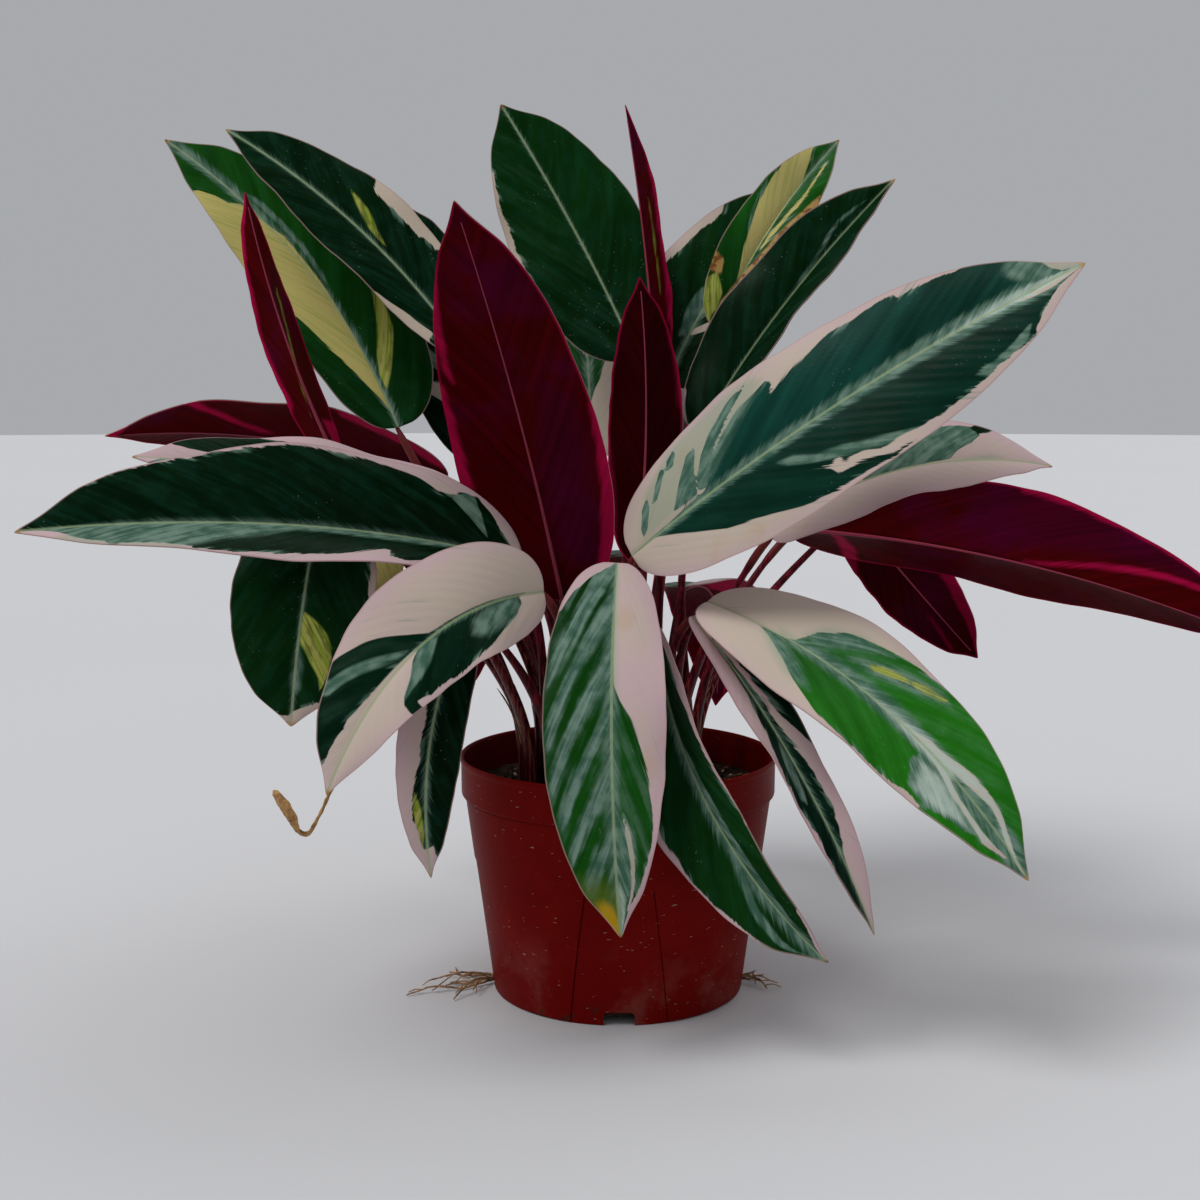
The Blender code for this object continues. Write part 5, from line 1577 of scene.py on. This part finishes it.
def make_soil(looks):
    """Peat that fills the pot, with chips, white grains and dry fibres on top."""
    floor = FLOOR_TOP + GAP
    inset = WALL + 2 * GAP
    edge = body_radius(SOIL_TOP - CORNER) - inset
    profile = [
        (0, SOIL_TOP),
        *((edge * (ring + 1) / SOIL_RINGS, SOIL_TOP) for ring in range(SOIL_RINGS - 1)),
        *((body_radius(z) - inset, z) for z in (SOIL_TOP - CORNER, SOIL_WAIST, floor + CORNER)),
        (body_radius(floor) - inset - CORNER, floor),
        (0, floor),
    ]
    bm = turned(profile, looks.sides, 0)
    for vert in bm.verts:
        if vert.co.z > SOIL_TOP - 0.5 * MM:
            vert.co.z = soil_height(vert.co.x, vert.co.y)
    chance = random.Random("soil")
    for _ in range(looks.chips):
        add_lump(bm, scattered(chance), chance.uniform(*CHIP_SIZE) * MM, chance, 1)
    for _ in range(looks.perlite):
        add_lump(bm, scattered(chance), chance.uniform(*GRAIN_SIZE) * MM, chance, 2)
    for _ in range(looks.straws):
        middle = scattered(chance, STRAW_REACH)
        along = direction(chance.uniform(0, 360), chance.uniform(*STRAW_SLOPE))
        along = along * chance.uniform(*STRAW_HALF) * MM
        bow = Vector([chance.uniform(-1, 1) for _ in range(3)]) * STRAW_BOW
        lift = Vector((0, 0, STRAW_LIFT))
        points = smooth_line([middle - along + lift, middle + bow + lift, middle + along + lift], 4)
        radius = chance.uniform(*STRAW_RADIUS) * MM
        add_tube(bm, points, [radius] * (len(points) - 1) + [radius * STRAW_END], 0, material_index=3)
    materials = [peat(looks), bark_chips(looks), perlite_grains(looks), dry_straw("soil_straw", looks)]
    add_piece("potting_soil", bm, materials, ["soil"], sharp=40)


def make_roots(node, looks, material):
    """One tuft of dry roots with fine rootlets that branch off."""
    chance = random.Random(node)
    bm = bmesh.new()
    for line in ROOT_TUFTS[node]:
        points = smooth_line([Vector(point) * MM for point in line], 7)
        for index, point in enumerate(points[2:], 2):
            points[index] = point + Vector([chance.uniform(-ROOT_WANDER, ROOT_WANDER) for _ in range(3)])
        count = len(points)
        add_tube(bm, points, [ROOT_RADIUS - ROOT_TAPER * i / count for i in range(count)], 2)
        for _ in range(ROOTLETS):
            at = chance.randrange(count // 3, count - 2)
            ahead = (points[at + 1] - points[at]).normalized()
            out = Vector((chance.uniform(-1, 1), chance.uniform(-1, 1), 0)) + ahead
            out = out.normalized() * chance.uniform(*ROOTLET_LENGTH) * MM
            end = points[at] + out
            end.z = chance.uniform(0.5, 1.6) * MM
            bow = (points[at] + end) / 2 + Vector((0, 0, chance.uniform(0, 1.2) * MM))
            rootlet = smooth_line([points[at], bow, end], 5)
            add_tube(bm, rootlet, [ROOTLET_RADIUS] * (len(rootlet) - 1) + [ROOTLET_RADIUS / 2], 1)
    add_piece(node.replace("roots", "dry_roots"), bm, [material], [node])


# Stage


def add_floor(looks):
    """A plain round floor."""
    bm = bmesh.new()
    bmesh.ops.create_circle(bm, cap_ends=True, segments=FLOOR_SIDES, radius=looks.floor_radius)
    floor = add_object("stage_floor_disc", mesh_from(bm, "stage_floor_disc"))
    floor.data.materials.append(pale_floor(looks))


def add_surroundings(looks):
    """Soft light from all round."""
    world = bpy.data.worlds.new("studio")
    bpy.context.scene.world = world
    world.use_nodes = True
    glow = world.node_tree.nodes["Background"]
    glow.inputs["Color"].default_value = (*looks.surroundings, 1)


def add_light(name, strength, softness, towards):
    """Even light from one side; softness is how wide its source looks, in degrees."""
    data = bpy.data.lights.new(name, "SUN")
    data.energy = strength
    data.angle = math.radians(softness)
    light = add_object(name, data)
    light.rotation_euler = towards.to_track_quat("Z", "Y").to_euler()


def add_camera(looks):
    """The camera, at the viewing angle of the photo."""
    camera = bpy.data.cameras.new("viewer")
    camera.lens = looks.lens
    camera.sensor_width = CAMERA_FILM
    camera.clip_start = CAMERA_NEAR
    viewer = add_object("viewer", camera)
    viewer.location = CAMERA_PLACE
    viewer.rotation_euler = (math.radians(CAMERA_TILT), 0, 0)
    bpy.context.scene.camera = viewer


# Operators


class STROMANTHE_OT_stage(bpy.types.Operator):
    """Adds the floor, the soft lights and the camera"""

    bl_idname = "stromanthe.stage"
    bl_label = "Stage"

    def execute(self, context):
        looks = context.scene.stromanthe_stage
        add_floor(looks)
        add_surroundings(looks)
        add_light("key", looks.key_strength, KEY_SOFTNESS, direction(*KEY_FROM))
        add_light("fill", looks.fill_strength, FILL_SOFTNESS, direction(*FILL_FROM))
        add_camera(looks)
        context.scene.view_settings.view_transform = "Standard"
        return {"FINISHED"}


class STROMANTHE_OT_leaves(bpy.types.Operator):
    """Adds every leaf with its stalk, and the withered end of the low one"""

    bl_idname = "stromanthe.leaves"
    bl_label = "Leaves"

    def execute(self, context):
        looks = context.scene.stromanthe_leaves
        husk = dry_straw("stalk_husk_straw", context.scene.stromanthe_soil)
        materials = [upper_side(looks), under_side(looks), stalk_skin(looks), husk]
        for leaf in LEAVES:
            make_leaf(leaf, looks, materials)
        make_withered_end(looks)
        return {"FINISHED"}


class STROMANTHE_OT_pot(bpy.types.Operator):
    """Adds the red-brown plastic pot"""

    bl_idname = "stromanthe.pot"
    bl_label = "Pot"

    def execute(self, context):
        make_pot(context.scene.stromanthe_pot)
        return {"FINISHED"}


class STROMANTHE_OT_soil(bpy.types.Operator):
    """Adds the soil with its chips, white grains and fibres"""

    bl_idname = "stromanthe.soil"
    bl_label = "Soil"

    def execute(self, context):
        make_soil(context.scene.stromanthe_soil)
        return {"FINISHED"}


class STROMANTHE_OT_roots(bpy.types.Operator):
    """Adds the dry roots that come out of the drain slots"""

    bl_idname = "stromanthe.roots"
    bl_label = "Dry roots"

    def execute(self, context):
        looks = context.scene.stromanthe_soil
        material = dry_straw("dry_root_straw", looks)
        for node in ROOT_TUFTS:
            make_roots(node, looks, material)
        return {"FINISHED"}


class STROMANTHE_PT_panel(bpy.types.Panel):
    """The plant's pieces and their settings"""

    bl_label = "Potted Stromanthe"
    bl_idname = "STROMANTHE_PT_panel"
    bl_space_type = "VIEW_3D"
    bl_region_type = "UI"
    bl_category = "Stromanthe"

    def draw(self, context):
        for operator, settings in PANEL_ROWS:
            box = self.layout.box()
            box.operator(operator.bl_idname)
            group = getattr(context.scene, settings)
            for name in group.__annotations__:
                box.prop(group, name)


SETTINGS = {
    "stromanthe_stage": StromantheStage,
    "stromanthe_leaves": StromantheLeaves,
    "stromanthe_pot": StromanthePot,
    "stromanthe_soil": StromantheSoil,
}
OPERATORS = (
    STROMANTHE_OT_stage,
    STROMANTHE_OT_leaves,
    STROMANTHE_OT_pot,
    STROMANTHE_OT_soil,
    STROMANTHE_OT_roots,
)
PANEL_ROWS = tuple(zip(OPERATORS, (*SETTINGS, "stromanthe_soil")))


def register():
    for cls in (*SETTINGS.values(), *OPERATORS, STROMANTHE_PT_panel):
        bpy.utils.register_class(cls)
    for name, group in SETTINGS.items():
        setattr(bpy.types.Scene, name, PointerProperty(type=group))


def unregister():
    for name in SETTINGS:
        delattr(bpy.types.Scene, name)
    for cls in (STROMANTHE_PT_panel, *OPERATORS, *SETTINGS.values()):
        bpy.utils.unregister_class(cls)


def main():
    register()
    bpy.ops.stromanthe.stage()
    bpy.ops.stromanthe.leaves()
    bpy.ops.stromanthe.pot()
    bpy.ops.stromanthe.soil()
    bpy.ops.stromanthe.roots()


if __name__ == "__main__":
    main()
